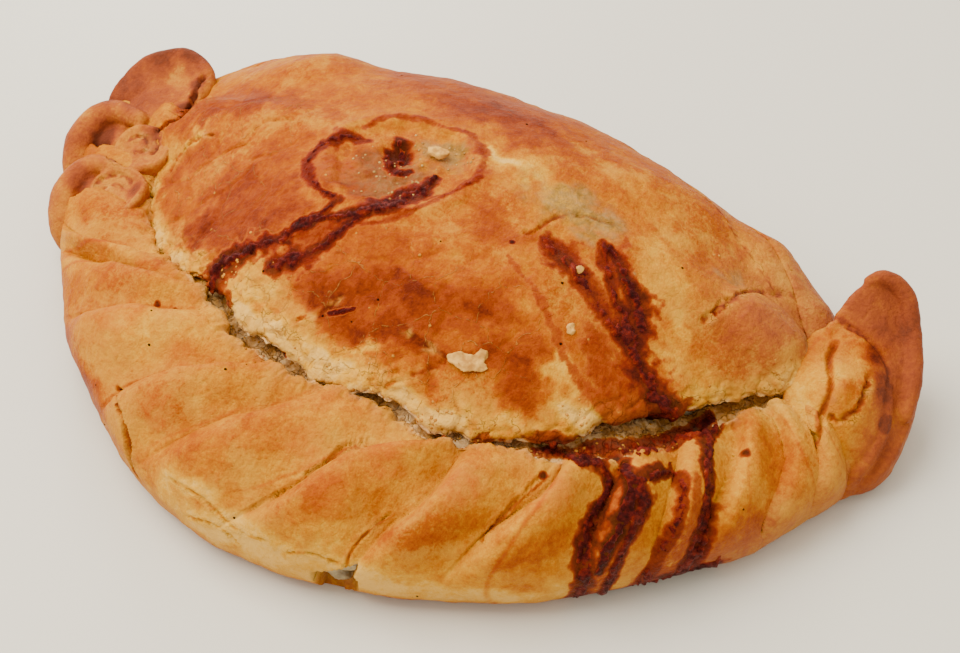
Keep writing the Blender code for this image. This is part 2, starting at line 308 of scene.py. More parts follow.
@dataclass(frozen=True)
class PastyForm:
    """The smooth form of the folded disc of pastry. Angles go round the crimp's centre, with 180
    degrees at the left corner, 270 at the front and 360 at the right corner."""

    centre: tuple[float, float]
    radius: float = 92.0
    bulge: float = 28.0
    corner_shift: float = 16.0
    height: float = 44.0
    ridge_half: float = 46.0
    ridge_y: float = -20.0
    split_height: float = 25.0
    corner_drop: float = 7.0
    widest_height: float = 9.0
    tuck: float = 6.0
    roundness: float = 2.3
    dome_exponent: float = 2.3
    back_share: float = 0.88
    corner_blend: float = 18.0
    corner_spread: float = 28.0
    arc: float = 1.45
    slant: float = 0.85
    split_angles: tuple[float, ...] = (180, 200, 215, 230, 245, 265, 279, 290, 305, 320, 335, 347, 360)
    split_radii: tuple[float, ...] = (74, 71, 69.5, 66, 65, 65, 70, 72, 72, 75, 76, 75, 74)
    widest_angles: tuple[float, ...] = (180, 200, 215, 230, 245, 260, 275, 290, 320, 340, 360)
    widest_offsets: tuple[float, ...] = (0, -1, -2, 0, 2.5, 4, 2.5, 1, 1, 0, -6)

    def lines(self, angles: Values) -> tuple[Points, Points, Points]:
        """The ridge, the split and the widest line in plan.

        Args:
            angles: Angles round the crimp's centre, in radians.

        Returns:
            Three arrays of plan points.
        """
        across, along = np.cos(angles), np.sin(angles)
        front = (along <= 1e-9)[:, None]
        degrees = np.degrees(angles) % 360
        degrees[front[:, 0] & (degrees < 180)] += 360
        shift = self.corner_shift * smooth(degrees, 330, 360)
        radius = self.radius + np.interp(degrees, self.widest_angles, self.widest_offsets)
        crimp = np.stack([radius * across, radius * along - shift], 1)
        reach = self.radius + self.widest_offsets[-1] * np.clip((across - 0.7) / 0.3, 0, 1)
        bulge = self.bulge * along**2 - self.corner_shift * ((1 + across) / 2) ** 3
        widest = np.where(front, crimp, np.stack([reach * across, bulge], 1))
        ridge = np.stack([self.ridge_half * across, np.full_like(angles, self.ridge_y)], 1)
        inner = np.interp(degrees, self.split_angles, self.split_radii)
        lip = np.stack([inner * across, inner * along - shift], 1)
        middle = np.array([0.0, self.ridge_y])
        back_split = middle + (widest - middle) * self.back_share
        opening = smooth(np.minimum(degrees - 180, 360 - degrees), 0, self.corner_blend)[:, None]
        split = np.where(front, lip * opening + back_split * (1 - opening), back_split)
        return ridge + self.centre, split + self.centre, widest + self.centre

    def _from_middle(self, plan: Points) -> tuple[Values, Values]:
        """The direction and distance of plan points from the ridge's middle."""
        x = plan[:, 0] - self.centre[0]
        y = plan[:, 1] - self.centre[1] - self.ridge_y
        return np.arctan2(y, x), np.hypot(x, y)

    def _share_of_way(self, plan: Points, outline: Points) -> Values:
        """How far plan points lie on the way from the ridge's middle to an outline."""
        directions, distances = self._from_middle(outline)
        order = np.argsort(directions)
        direction, distance = self._from_middle(plan)
        return distance / np.interp(direction, directions[order], distances[order], period=2 * np.pi)

    def _outlines(self) -> tuple[Points, Points]:
        """The split and the widest line all the way round."""
        return self.lines(np.linspace(0, 2 * np.pi, 720, endpoint=False))[1:]

    def crimp_weight(self, plan: Points) -> Values:
        """1 where the side is crimped and 0 on the smooth back, with a fade round each corner."""
        ends = np.array([[self.radius, -self.corner_shift], [-self.radius, 0.0]]) + self.centre
        right, left = self._from_middle(ends)[0]
        direction = self._from_middle(plan)[0]
        past = np.degrees(np.minimum(direction - right, left - direction))
        return 1 - smooth(past, 0, self.corner_spread)

    def side_height(self, plan: Points) -> Values:
        """The height of the smooth back's surface over plan points."""
        way = np.clip(self._share_of_way(plan, self._outlines()[1]), 0, 1)
        rise = (1 - way**self.roundness) ** (1 / self.roundness)
        return self.widest_height + (self.height - self.widest_height) * rise

    def shoulder(self, plan: Points) -> Values:
        """The height of the split over plan points, lower towards the corners."""
        near_corner = smooth(np.abs(np.cos(self._from_middle(plan)[0])), 0.8, 1)
        return self.split_height - self.corner_drop * near_corner

    def dome_height(self, plan: Points) -> Values:
        """The height of the smooth dome over plan points."""
        fall = self._share_of_way(plan, self._outlines()[0]) ** self.dome_exponent
        shoulder = self.shoulder(plan)
        front = shoulder + (self.height - shoulder) * (1 - fall)
        weight = self.crimp_weight(plan)
        return front * weight + self.side_height(plan) * (1 - weight)

    def on_dome(self, plan: Sequence[Sequence[float]]) -> Points:
        """Plan points lifted onto the smooth dome."""
        flat = np.array(plan, float)
        return np.column_stack([flat, self.dome_height(flat)])

    def side_curve(self, share: float) -> tuple[float, float]:
        """How far out and how high the rounded side is, from 0 to 1, at a share of its way down."""
        turn, power = np.pi / 2 * share, 2 / self.roundness
        return np.sin(turn) ** power, max(np.cos(turn), 0.0) ** power

    def tucked(self, widest: Points, share: float, base: float) -> Points:
        """A row of the rounded edge from the widest line, at share 0, to the base, at share 1."""
        turn = np.pi / 2 * share
        drawn = 1 - (self.tuck / self.radius) * (1 - np.cos(turn))
        height = base + (self.widest_height - base) * (1 - np.sin(turn))
        return np.column_stack([self.centre + (widest - self.centre) * drawn, np.full(len(widest), height)])

    def unrolled(self, points: Points) -> Points:
        """Points laid out flat in millimetres: round the front, and outwards and down over its side."""
        degrees, radius = self.polar(points)
        return np.column_stack([degrees * self.arc, self.slant * (radius - points[:, 2])])

    def polar(self, points: Points) -> tuple[Values, Values]:
        """The angle round the crimp's centre, in degrees from 90 to 450, and the radius from it."""
        x = points[:, 0] - self.centre[0]
        y = points[:, 1] - self.centre[1]
        degrees = np.zeros(len(points))
        shift = np.zeros(len(points))
        for _ in range(6):
            degrees = (np.degrees(np.arctan2(y + shift, x)) - 90) % 360 + 90
            shift = self.corner_shift * smooth(degrees, 330, 360)
        return degrees, np.hypot(x, y + shift)


@dataclass(frozen=True)
class Crevice:
    """The open seam between the dome's torn edge and the noses of the crimp's folds."""

    dome_angles: tuple[float, ...] = (
        180, 200, 215, 226, 231, 237, 245, 255, 265, 271, 277, 281, 285, 290, 300, 308, 314, 320,
        327, 334, 342, 360,
    )
    dome_radii: tuple[float, ...] = (
        74, 72.5, 70, 66.5, 64, 63, 63.5, 64, 64, 64.3, 65.5, 68, 69.5, 70.5, 71, 70.6, 70, 70.2,
        71.4, 73, 73.5, 73.5,
    )
    crimp_angles: tuple[float, ...] = (
        180, 200, 215, 226, 231, 236, 240, 244, 248, 250, 254, 258, 262, 266, 272, 277, 281, 284,
        288, 297, 301, 307, 312, 317, 321, 326, 332, 340, 360,
    )
    crimp_radii: tuple[float, ...] = (
        73.4, 72, 69.8, 66.6, 64.8, 65.6, 65.4, 66.6, 66.6, 65.2, 65.4, 66.6, 64.8, 64.3, 64.8, 66.4,
        69.2, 71.0, 71.4, 72.4, 75, 76.6, 78.6, 77.4, 75.4, 74.8, 74.4, 74.4, 74.8,
    )
    depth_angles: tuple[float, ...] = (
        180, 228, 236, 242, 250, 257, 262, 268, 274, 281, 285, 297, 303, 322, 330, 340, 360,
    )
    depths: tuple[float, ...] = (
        0.2, 0.5, 1.6, 3.4, 2.4, 3.2, 1.0, 0.7, 1.0, 1.0, 1.4, 1.6, 2.4, 2.4, 1.6, 1.2, 1,
    )

    def dome_edge(self, degrees: Values) -> Values:
        """The radius of the dome's torn edge."""
        return np.interp(degrees, self.dome_angles, self.dome_radii)

    def crimp_edge(self, degrees: Values) -> Values:
        """The radius of the folds' noses."""
        return np.interp(degrees, self.crimp_angles, self.crimp_radii)

    def depth(self, degrees: Values) -> Values:
        """How deep the seam is below its shoulders."""
        return np.interp(degrees, self.depth_angles, self.depths)


@dataclass(frozen=True)
class Fold:
    """One fold of the crimp: where its upper groove runs, how far it stands out, its groove's notch.

    The groove's angles are at the nose, a quarter and half of the way down, and at the widest line.
    """

    groove: tuple[float, float, float, float]
    stands: float
    notch: float


@dataclass(frozen=True)
class CrimpRelief:
    """The rope-like relief of the crimp's folds."""

    folds: tuple[Fold, ...] = listed(
        Fold,
        ((183, 182, 181, 180), 0, 0), ((192, 190, 188, 186), 0.5, 0.2), ((203, 200, 197, 194), 0.6, 0.3),
        ((218, 213, 208, 201), 1, 0.7), ((231, 218, 212, 207), 1, 0.7), ((237, 230, 225, 220), 1.25, 0.6),
        ((252.5, 243.5, 240, 238), 1.25, 0.6), ((264, 255.5, 251.5, 247), 1, 0.5),
        ((284, 272, 266.5, 260), 1.45, 1), ((289, 285.5, 281, 277), 1.2, 0.4),
        ((303, 299, 292.5, 287), 1.15, 1), ((310.5, 308, 305.5, 303), 0.8, 0.3),
        ((320, 316.5, 314, 311), 0.8, 0.3), ((331, 326, 321, 317), 0.9, 0.3),
        ((339, 335.5, 332, 326), 0.55, 0.35), ((346, 342.5, 339, 334), 0.5, 0.35),
        ((354, 351, 348, 343), 0.4, 0.3), ((361, 360, 359, 357), 0, 0),
    )
    places: tuple[float, float, float, float] = (0.0, 0.25, 0.55, 1.0)
    relief: float = 4.2
    crest: float = 0.24
    sunk: float = 0.42
    groove_width: float = 0.42
    groove_depth: float = 1.0
    reach_angles: tuple[float, ...] = (200, 262, 300, 335)
    reaches: tuple[float, ...] = (0.9, 0.95, 1.1, 1.35)

    def at(self, degrees: Values, share: Values) -> tuple[Values, Values, Values]:
        """The relief at places on the crimp.

        Args:
            degrees: Angles round the crimp's centre.
            share: Ways down the side, 0 at the nose and 1 at the widest line.

        Returns:
            How far the surface stands out in millimetres, how far across its fold each place is,
            and how near it is to a groove, from 0 to 1.
        """
        way = np.clip(share, 0, 1)
        lines = np.array([np.interp(way, self.places, fold.groove) for fold in self.folds])
        order = np.clip((lines <= degrees).sum(axis=0) - 1, 0, len(self.folds) - 2)
        start = np.take_along_axis(lines, order[None], 0)[0]
        end = np.take_along_axis(lines, order[None] + 1, 0)[0]
        across = np.clip((degrees - start) / (end - start), 0, 1)
        stands = np.array([fold.stands for fold in self.folds])[order]
        notches = np.array([fold.notch for fold in self.folds])
        rise = np.sin(np.pi / 2 * np.clip(across / self.crest, 0, 1)) ** 0.75
        fall = 1 - smooth(across, self.crest, 1.02) ** 1.2
        low = np.interp(degrees, self.reach_angles, self.reaches)
        strength = between(share, -0.14, 0.16, 0.42 * low, low)
        gap = np.minimum(degrees - start, end - degrees) * 1.5
        own = np.where(degrees - start < end - degrees, notches[order], notches[order + 1])
        groove = np.exp(-((gap / self.groove_width) ** 2)) * np.minimum(1.1 * own, 0.8)
        groove = groove * between(share, -0.1, 0.1, 0.55, 1.05)
        out = self.relief * stands * strength * (rise * fall - self.sunk) - self.groove_depth * groove
        return out, across, groove


# --- what lies on the crust --------------------------------------------------------------------


@dataclass(frozen=True)
class Spot:
    """A soft patch in plan: its middle, its reach each way, its turn in degrees and its strength."""

    x: float
    y: float
    long: float
    wide: float
    turn: float
    strength: float

    def weight(self, points: Points, wobble: Values | float) -> Values:
        """How much of the patch each point has, with its edge broken by the wobble."""
        turned = np.radians(self.turn)
        x, y = points[:, 0] - self.x, points[:, 1] - self.y
        along = (x * np.cos(turned) + y * np.sin(turned)) / self.long
        across = (-x * np.sin(turned) + y * np.cos(turned)) / self.wide
        return self.strength * faded(np.hypot(along, across) + FRAY * wobble)


@dataclass(frozen=True)
class SideSpot:
    """A soft patch on the side: its angle and height, its reach each way, its lean and strength.

    The lean is how many degrees the patch moves for each millimetre up.
    """

    degrees: float
    height: float
    long: float
    tall: float
    lean: float
    strength: float

    def weight(self, degrees: Values, heights: Values, wobble: Values | float) -> Values:
        """How much of the patch each place has, with its edge broken by the wobble."""
        up = heights - self.height
        along = (degrees - self.degrees - self.lean * up) / self.long
        return self.strength * faded(np.hypot(along, up / self.tall) + FRAY * wobble)


def laid_flat(form: PastyForm, points: Points, path: Points) -> tuple[Points, Points]:
    """Points and a path in one flat layout: in plan for a plan path, unrolled for one in space."""
    if path.shape[1] == 2:
        return points[:, :2], path
    return form.unrolled(points), form.unrolled(path)


@dataclass(frozen=True)
class Trail:
    """A run of gravy: its path in plan or in space, its half width along it, and how dark it is."""

    path: tuple[tuple[float, ...], ...]
    widths: tuple[float, ...]
    dark: float
    crisp: float = 1.0

    def depth(self, form: PastyForm, points: Points, wobble: Values) -> Values:
        """1 in the middle of the run, 0 at its edge and less outside it.

        Args:
            form: The pasty's form.
            points: The points to measure.
            wobble: Noise that frays the run's edge and varies its width.

        Returns:
            The depth at each point.
        """
        stops = curve_through(self.path, 8 * len(self.path))
        distance, where = along_path(*laid_flat(form, points, stops))
        wobble = wobble / self.crisp
        width = np.interp(where, np.linspace(0, 1, len(self.widths)), self.widths) * (1 + 0.7 * wobble)
        return (1 - distance / np.maximum(width, 0.25) + 0.5 * wobble) * self.crisp


@dataclass(frozen=True)
class Crack:
    """A crack in the crust: its path, its half width and its depth."""

    path: tuple[tuple[float, ...], ...]
    width: float
    depth: float

    def weight(self, form: PastyForm, points: Points, wobble: Values | float) -> tuple[Values, Values]:
        """How much each point is in the crack, and how near it is to the crack's lifted edges."""
        stops = curve_through(self.path, 7 * len(self.path))
        distance, where = along_path(*laid_flat(form, points, stops))
        ends = smooth(where, 0, 0.12) * (1 - smooth(where, 0.88, 1))
        broken = smooth(wobble, -0.75, -0.1)
        bent = np.abs(distance + 0.8 * wobble)
        inside = (1 - smooth(bent, 0.3 * self.width, self.width)) * ends * broken
        edge = np.exp(-(((bent - 1.7 * self.width) / (1.2 * self.width)) ** 2)) * ends * broken
        return inside, edge


@dataclass(frozen=True)
class Blotch:
    """A round patch in space: its middle, its reach, and how much darker it bakes."""

    x: float
    y: float
    z: float
    reach: float
    strength: float

    def weight(self, points: Points, wobble: Values | float) -> Values:
        """How much of the patch each point has."""
        distance = np.linalg.norm(points - (self.x, self.y, self.z), axis=1) / self.reach
        return self.strength * faded(distance + 0.25 * wobble, 0.4)


@dataclass(frozen=True)
class Crust:
    """How the crust is baked, cracked and stained, for any point on it."""

    form: PastyForm
    crevice: Crevice
    relief: CrimpRelief
    grain: Grain = field(default_factory=lambda: Grain(41))

    patches: tuple[Spot, ...] = listed(
        Spot,
        (-14, 9, 10, 8, 0, 0.34), (11, 6, 9, 5, -20, 0.18), (9, 21, 8, 5, -25, -0.12),
        (-6, 42, 32, 12, -8, 0.2), (-42, 4, 22, 13, 20, 0.08), (2, -17, 26, 9, -8, 0.15),
        (-38, -2, 15, 9, 30, 0.22), (-46, 5, 8, 5, 30, 0.18), (-29, -4, 10, 5, 25, 0.14),
        (-48, -6, 6, 4, 60, 0.2), (-59, 13, 7, 5, 15, 0.16), (-58, 27, 16, 7, 10, 0.24),
        (-71, 32, 2.6, 9, 5, 0.3), (-36, 27, 14, 7, 5, 0.1), (-36, 14, 10, 6, 0, 0.08),
        (-23, 8, 6, 5, 30, 0.1), (-62, 19, 6, 1.6, 25, -0.3), (-68, 8, 3, 10, 0, -0.26),
        (-60, -4, 6, 6, 0, -0.22), (-51, -13, 6, 5, 0, -0.24), (5, 34, 17, 6, -14, 0.16),
        (8, 22, 7, 2.4, -25, -0.3), (20, 19, 11, 4, -30, -0.2), (32, 29, 24, 3, -28, -0.12),
        (43, 13, 10, 6, -55, -0.16), (51, 3, 6, 3, -65, -0.2), (58, -1, 8, 3, 0, -0.14),
        (62, 13, 9, 7, 20, 0.1), (69, 24, 6, 4, 30, 0.06), (72, 10, 4, 6, 0, -0.16),
        (34, 40, 40, 5, -26, 0.06), (-10, -15, 9, 5, 0, 0.14), (-2, -13, 9, 4, -5, 0.13),
        (9, -13, 12, 5, -5, 0.16), (-17, -17, 9, 5, 20, 0.14), (2, -20.5, 10, 3.4, -8, 0.19),
        (-8, -21, 8, 3, -8, 0.18), (12, -25.5, 4, 1.8, -25, 0.21), (15, -8, 9, 5, -20, 0.13),
        (22, -12, 10, 6, -30, 0.14), (25, -20, 8, 4.4, -25, 0.26), (16, -29, 6, 1.8, -10, 0.16),
        (38, -12, 9, 5, -40, 0.1), (-30, -23.5, 6, 4, -30, -0.5), (-21, -27, 7, 3, -30, -0.4),
        (-12, -27.5, 8, 3, -10, -0.36), (-2, -23.5, 5, 1.8, -5, -0.36), (5, -30.5, 9, 2.4, -10, -0.34),
        (20, -33, 10, 2.4, -10, -0.34), (40, -21, 6, 3.4, -10, -0.36), (33, -15, 5, 2.6, -40, -0.32),
        (-24, -17, 7, 3, 10, -0.12), (-4, -6, 12, 6, 0, 0.14), (58, 32, 9, 5, -30, -0.16),
        (8, -3, 9, 4, 0, 0.06),
    )
    mushy: tuple[Spot, ...] = listed(
        Spot,
        (-12, 11, 10, 8, 0, 0.36), (-6, 20, 8, 3.6, -15, 0.8), (-12, 10, 5, 3, 20, 0.5),
        (25, 17, 12, 5.4, -10, 0.8), (55, 23, 4, 3, 30, 0.6), (38, 7, 1.4, 3.4, 30, 0.8),
        (74, 18, 3, 4, 0, 0.6),
    )
    soaked: tuple[Spot, ...] = listed(
        Spot,
        (-18, -4, 12, 3, 35, 0.46), (-24, 10, 6, 6, 20, 0.26), (0, 18, 4, 5, 0, 0.16),
        (-20, 9, 5, 4, 20, 0.18), (-38, -17, 3.4, 6, 10, 0.5), (26, 5, 5, 3.4, -20, 0.74),
        (34, 1, 9, 3, -40, 0.5), (40, -10, 11, 4, -50, 0.4), (46, -12, 10, 5, -35, 0.42),
        (51, -9, 7, 4, -10, 0.6),
    )
    swells: tuple[Spot, ...] = listed(
        Spot,
        (67, 38, 17, 13, -30, 3.4), (-52, 44, 20, 12, 10, 2.4), (-71, 32, 4, 9, 5, -2.4),
    )
    blushes: tuple[Blotch, ...] = listed(
        Blotch,
        (-37, -34, 25, 4.5, 0.8), (-31, -34, 24, 4, 0.5), (-35, -46, 22, 4.5, 0.8), (-6, -44, 24, 5, 0.6),
        (11, -43, 26, 5, 0.9), (26, -42, 24, 5, 0.8), (4, -52, 23, 5, 0.5), (34, -34, 24, 4, 0.4),
        (42, -37, 24, 4.5, 0.7), (-52, -29, 23, 6, 0.6),
    )
    side_swells: tuple[SideSpot, ...] = listed(
        SideSpot,
        (333, 5, 15, 11, 0, 2.6), (238, 6, 14, 8, 0, -1),
    )
    side_browned: tuple[SideSpot, ...] = listed(
        SideSpot,
        (229, 9, 9, 8, 0.4, 0.2), (322, 9, 6, 7, 0.4, 0.14), (210, 19, 6, 4, 1, 0.12),
        (222, 14, 7, 6, 1, 0.1), (244, 10, 14, 7, 1.2, 0.06), (247, 21, 6, 4, 1.2, 0.06),
        (258, 21, 6, 4, 1.2, 0.08), (273, 21, 7, 3.6, 1.6, 0.12), (287, 20, 6, 3.4, 1.6, 0.16),
        (299, 18, 5, 4, 1.4, 0.14), (310, 15, 3, 6, 0.6, 0.06), (322, 11, 6, 5, 0.6, 0.12),
        (333, 17, 5, 6, 0.6, 0.1), (350, 8, 14, 7, 0, 0.24), (190, 9, 16, 9, 0, 0.14),
        (215, 6, 24, 5, 0, 0.12), (236, 13, 7, 5, 0.4, 0.24), (330, 13, 6, 6, 0.4, 0.04),
        (224, 21, 5, 4, 0.6, 0.14),
    )
    side_paler: tuple[SideSpot, ...] = listed(
        SideSpot,
        (218, 21, 4, 3, 1, 0.06), (239, 25, 5, 4, 1, 0.08), (262, 12, 12, 5, 1, 0.26),
        (272, 9, 14, 5, 0.8, 0.28), (287, 7, 16, 4, 0.6, 0.26), (302, 6, 10, 4, 0.4, 0.16),
        (257, 16.5, 4, 2, 1.2, 0.24), (322, 19, 5, 4, 0.8, 0.03), (340, 19, 5, 4, 0.8, 0.2),
        (348, 14, 6, 5, 0.6, 0.14),
    )
    trails: tuple[Trail, ...] = listed(
        Trail,
        (((18, -33.4), (23, -32), (31, -29.2), (37.6, -25.4), (43.5, -22.4)), (0.3, 0.5, 0.8, 1, 1.1),
         0.5),
        (((-4, 13), (-5, 8), (-9, 3), (-14, -1), (-20, -3), (-25, -6), (-30, -9), (-35, -11), (-39, -14),
         (-38.5, -18), (-34, -22)), (1, 2, 2, 1, 1.1, 1.2, 1.6, 2, 2.2, 1.5, 1.2), 0.85),
        (((-19, 1), (-21, -2), (-25, -5), (-29, -9), (-33, -10.5)), (0.8, 0.8, 0.9, 1.2, 1.4), 0.8),
        (((-7, 2), (-13, -1.5), (-17, -7), (-22, -11), (-27, -13)), (0.8, 1.3, 1.2, 2.1, 1.4), 0.8),
        (((-19, 1), (-24, 3), (-28, 6), (-30, 10), (-29, 14), (-25, 17.5), (-21, 18)),
         (0.6, 0.6, 0.9, 1.3, 1.5, 1.2, 0.8), 0.7),
        (((-23, 21), (-19, 25), (-13, 27), (-8, 26), (-3, 26), (2, 23), (4, 17), (2, 11), (-3, 6),
         (-9, 1.5)), (0.6, 0.8, 0.7, 0.3, 0.7, 1, 0.7, 0.6, 0.6, 0.7), 0.35),
        (((-15.5, 20.5), (-13.5, 18), (-12.2, 15)), (1, 1.8, 1), 1),
        (((5, 15), (3, 11), (0, 7), (-4, 2), (-8, -1.5), (-12, -3)), (0.5, 0.5, 0.6, 0.5, 0.7, 0.5), 0.4),
        (((-2, 25), (1, 22), (3, 18), (4, 14)), (0.8, 2.2, 2.6, 1.2), 0.05),
        (((-16, 17), (-14.5, 14), (-11.5, 11.5), (-9.4, 13)), (0.6, 1, 0.8, 0.5), 0.9),
        (((22, 7), (25, 5), (29, 3.6), (33, 1.6), (37, -1.4), (41, -4)), (1.2, 2.6, 2.2, 1.6, 1.4, 1.2),
         0.62),
        (((31.5, 12.5), (33.5, 9), (36, 5), (38.5, 1.5), (40.5, -2)), (0.6, 1.2, 1.2, 1.4, 1.2), 0.62),
        (((33, 12), (36.5, 9), (40, 6), (43, 2.4), (43.4, -1), (41.5, -3)),
         (0.6, 1.2, 1.7, 1.9, 1.7, 1.2), 0.85),
        (((40, 1), (43, -3), (46, -6), (50, -8.5), (53, -10)), (2.6, 2.6, 2.2, 3, 2.4), 0.8),
        (((17, 0), (20, -2), (25, -5), (29, -8.5), (34, -13), (40, -16), (47, -17)),
         (0.3, 0.7, 0.6, 0.8, 0.9, 1.2, 1), 0.2),
        (((50, -9), (55, -9), (60, -6), (64, -4)), (2, 2, 1.4, 0.8), 0.5),
        (((34.5, 16), (35.6, 14), (34, 12)), (0.4, 0.6, 0.8), 0.2),
        (((-11.4, -19.7), (-9, -19), (-6.8, -18)), (0.4, 0.6, 0.3), 1, 2),
    )
    drips: tuple[Trail, ...] = listed(
        Trail,
        (((34, -28, 23), (39, -27, 24), (43, -28, 25), (46.5, -27.5, 25), (50, -30, 24), (49, -35, 20.5),
         (49, -39.5, 17), (50.5, -42, 12), (50, -43, 6)), (0.5, 0.8, 1.3, 1.6, 1.4, 1.4, 1.5, 1.5, 2),
         0.78, 1.5),
        (((44, -24, 24), (48, -22.5, 24), (53, -20, 24), (57, -14, 22), (61, -8, 20)),
         (0.8, 1.2, 1.3, 1.2, 0.8), 0.6, 1.5),
        (((51, -26, 25), (53, -29.5, 24), (54, -34, 21.5), (53, -38, 17.5), (52.5, -41, 12)),
         (1.5, 1.9, 1.8, 1.4, 0.8), 1, 1.3),
        (((51, -28, 25), (52, -33, 22), (51.5, -39, 17), (52.5, -42, 10), (52.5, -42.5, 4)),
         (2.4, 3.4, 3.2, 2.8, 3), 0.14, 1.5),
        (((59, -23, 23.5), (57.5, -25, 24.5), (54, -28.5, 24.5), (57, -31, 23.5), (56, -35.5, 19.5),
         (55.4, -39.5, 14), (55, -41.5, 7)), (0.8, 1.1, 1.3, 1.6, 1.2, 1.1, 1.2), 0.75, 1.5),
        (((58.5, -21, 23.5), (61.5, -23.5, 22), (63, -29, 20), (62, -34, 14), (61, -36.5, 7)),
         (0.5, 0.9, 0.8, 1, 1.5), 0.58, 1.5),
        (((63, -3, 20), (62, -8, 20), (63, -15, 20.5), (65.5, -20, 19.5), (67, -25, 17), (67.5, -29, 12),
         (67, -32, 6)), (0.9, 1.6, 1.5, 1.8, 1.9, 1.8, 2.2), 0.78, 1.5),
        (((63, -22, 21), (65, -27, 17), (64.5, -32, 12), (63.5, -34.5, 6)), (1.2, 2.4, 2.8, 3.2), 0.14,
         1.5),
        (((48.5, -44.5, 2.2), (55, -41.5, 3.2), (61, -37.5, 4), (66, -32, 5), (70, -26, 5.6)),
         (1.4, 2.4, 3, 3.4, 2), 0.85, 1.5),
    )
    beads: tuple[Blotch, ...] = listed(
        Blotch,
        (16.5, 3, 42, 0.8, 0.9), (25, -4, 38, 1.1, 0.8), (54.6, 11.5, 30, 1.2, 0.9),
        (19.5, -15, 35, 0.9, 0.8), (-48, -23, 25, 1, 0.9), (-44, -23, 25, 0.7, 0.9),
        (-38, -36, 23, 0.8, 0.9), (-24, -26, 22, 1.6, 1), (-19, -27, 24, 1.3, 0.9),
        (69, -10, 19, 1.5, 0.9), (38, -33, 25, 1, 0.8),
    )
    cracks: tuple[Crack, ...] = listed(
        Crack,
        (((-66, 12), (-64, 17), (-59, 18.5), (-56, 18)), 0.4, 0.5),
        (((-19, -22), (-13, -20), (-10, -16)), 0.4, 0.5),
        (((3, -19), (8, -21), (14, -22), (11, -25), (6, -28), (1, -31)), 0.4, 0.45),
        (((22, 49), (36, 44), (52, 34), (66, 24)), 0.3, 0.3),
        (((16, 6), (19, 7), (20, 10), (22, 14), (25, 16), (29, 17), (33, 18)), 0.5, 0.5),
        (((53, 8), (55, 12), (57, 18), (60, 25), (66, 30)), 0.6, 0.8),
    )
    side_cracks: tuple[Crack, ...] = listed(
        Crack,
        (((-49, -40, 18), (-45, -44, 18.5), (-42, -47.5, 18), (-40, -50, 15.5), (-39, -52, 12),
         (-37, -54, 8)), 0.6, 2),
        (((9, -60, 8), (10, -59.5, 12), (10.5, -57.5, 16), (13, -54, 20), (16, -50, 22)), 0.3, 0.35),
        (((-2, -60, 12), (3, -59, 13.5), (9, -59, 13)), 0.35, 0.5),
        (((-30, -53, 14), (-20, -55, 14), (-12, -58, 12), (-4, -59, 13)), 0.35, 0.4),
        (((-24, -57, 9), (-16, -58, 11), (-10, -59, 8)), 0.3, 0.35),
        (((76, 22, 22), (77, 16, 22), (78.5, 10, 20.5), (80, 4, 18), (81, -1, 15)), 0.7, 1),
        (((-3.5, -49, 21), (-0.5, -45, 22), (2, -41, 24), (6, -39, 25)), 0.4, 0.7),
        (((40, -32, 26), (37, -37, 24), (34, -43, 21), (31, -50, 17)), 0.3, 0.5),
    )

    corner_blotches: tuple[Blotch, ...] = listed(
        Blotch,
        (-92, 33, 18, 9, 0.26), (-84, 45, 27, 8, 0.26), (-74, 45, 27, 6, 0.4),
        (-76.5, 39, 23, 4.4, -0.22), (-82, 36, 23, 11, 0.22), (-71.5, 37.5, 23, 2, 0.5),
        (-71, 31, 22, 2.6, 0.5), (-74, 24, 20, 3.4, 0.4), (-85.4, 22, 14.5, 4.2, 0.6),
        (-82.6, 17, 14.5, 3.6, 0.6), (-83.2, 8.4, 13, 3.6, 0.6), (-81.6, 4, 12.5, 3.2, 0.5),
        (-83, 28, 20, 3, 0.2), (-83, 45, 25, 5, 0.3), (-94, 20, 14, 6, 0.2), (-91, 5, 11, 6, 0.16),
        (-76, 6, 18, 5, -0.06), (-70.5, 7, 20, 2.4, 0.34), (-74, 20, 21, 3, 0.3), (84, 34, 25, 12, 0.24),
        (90, 26, 18, 10, 0.22), (93, 15, 13, 9, 0.16), (90, 5, 7, 9, 0.2), (76, 3, 16, 7, -0.26),
        (76, 12, 21, 6, -0.24), (81.5, 15, 24, 4.6, -0.16), (84, 2, 12, 6, -0.16), (91, 11.5, 15, 2, 0.8),
        (84.5, 21.5, 22, 3, 0.34), (89, 15, 17.5, 3.6, 0.14), (80, 14, 22, 8, 0.06),
        (88, 17, 19, 3, 0.26),
    )
    hollows: tuple[Blotch, ...] = listed(
        Blotch,
        (-86.6, 22.5, 17, 5.2, 1), (-84.4, 8, 16, 4.4, 1),
    )
    flap_gap: Crack = Crack(((-71, 40.6), (-71.2, 35), (-70.4, 30), (-71.8, 25.5), (-74.5, 22)), 1.0, 2.6)
    corner_cracks: tuple[Crack, ...] = listed(
        Crack,
        (((-79.4, 18.6), (-78, 20.8), (-75.4, 21), (-74.2, 19), (-75.6, 17.4), (-77.2, 18)), 0.45, 0.7),
        (((-73.4, 21.4), (-72, 19.6), (-72.6, 17.4)), 0.5, 0.7),
        (((-79, 4), (-79.6, 7), (-77.6, 9.4), (-74, 9.8), (-71.6, 8)), 0.4, 0.45),
        (((-77.6, 4.4), (-77.6, 6.6), (-75.6, 8), (-73.2, 7.4)), 0.35, 0.35),
        (((-92, 11), (-87, 14.4), (-82.6, 14.8), (-79, 13), (-75, 12.6)), 0.7, 1.2),
        (((85, 17), (85.4, 13), (85, 9), (83, 6.4), (80, 6)), 0.6, 0.8),
        (((72, 27), (76, 26), (80, 25), (84, 24), (87.4, 21.5), (89, 17.5), (89.6, 13)), 0.9, 0.5),
    )

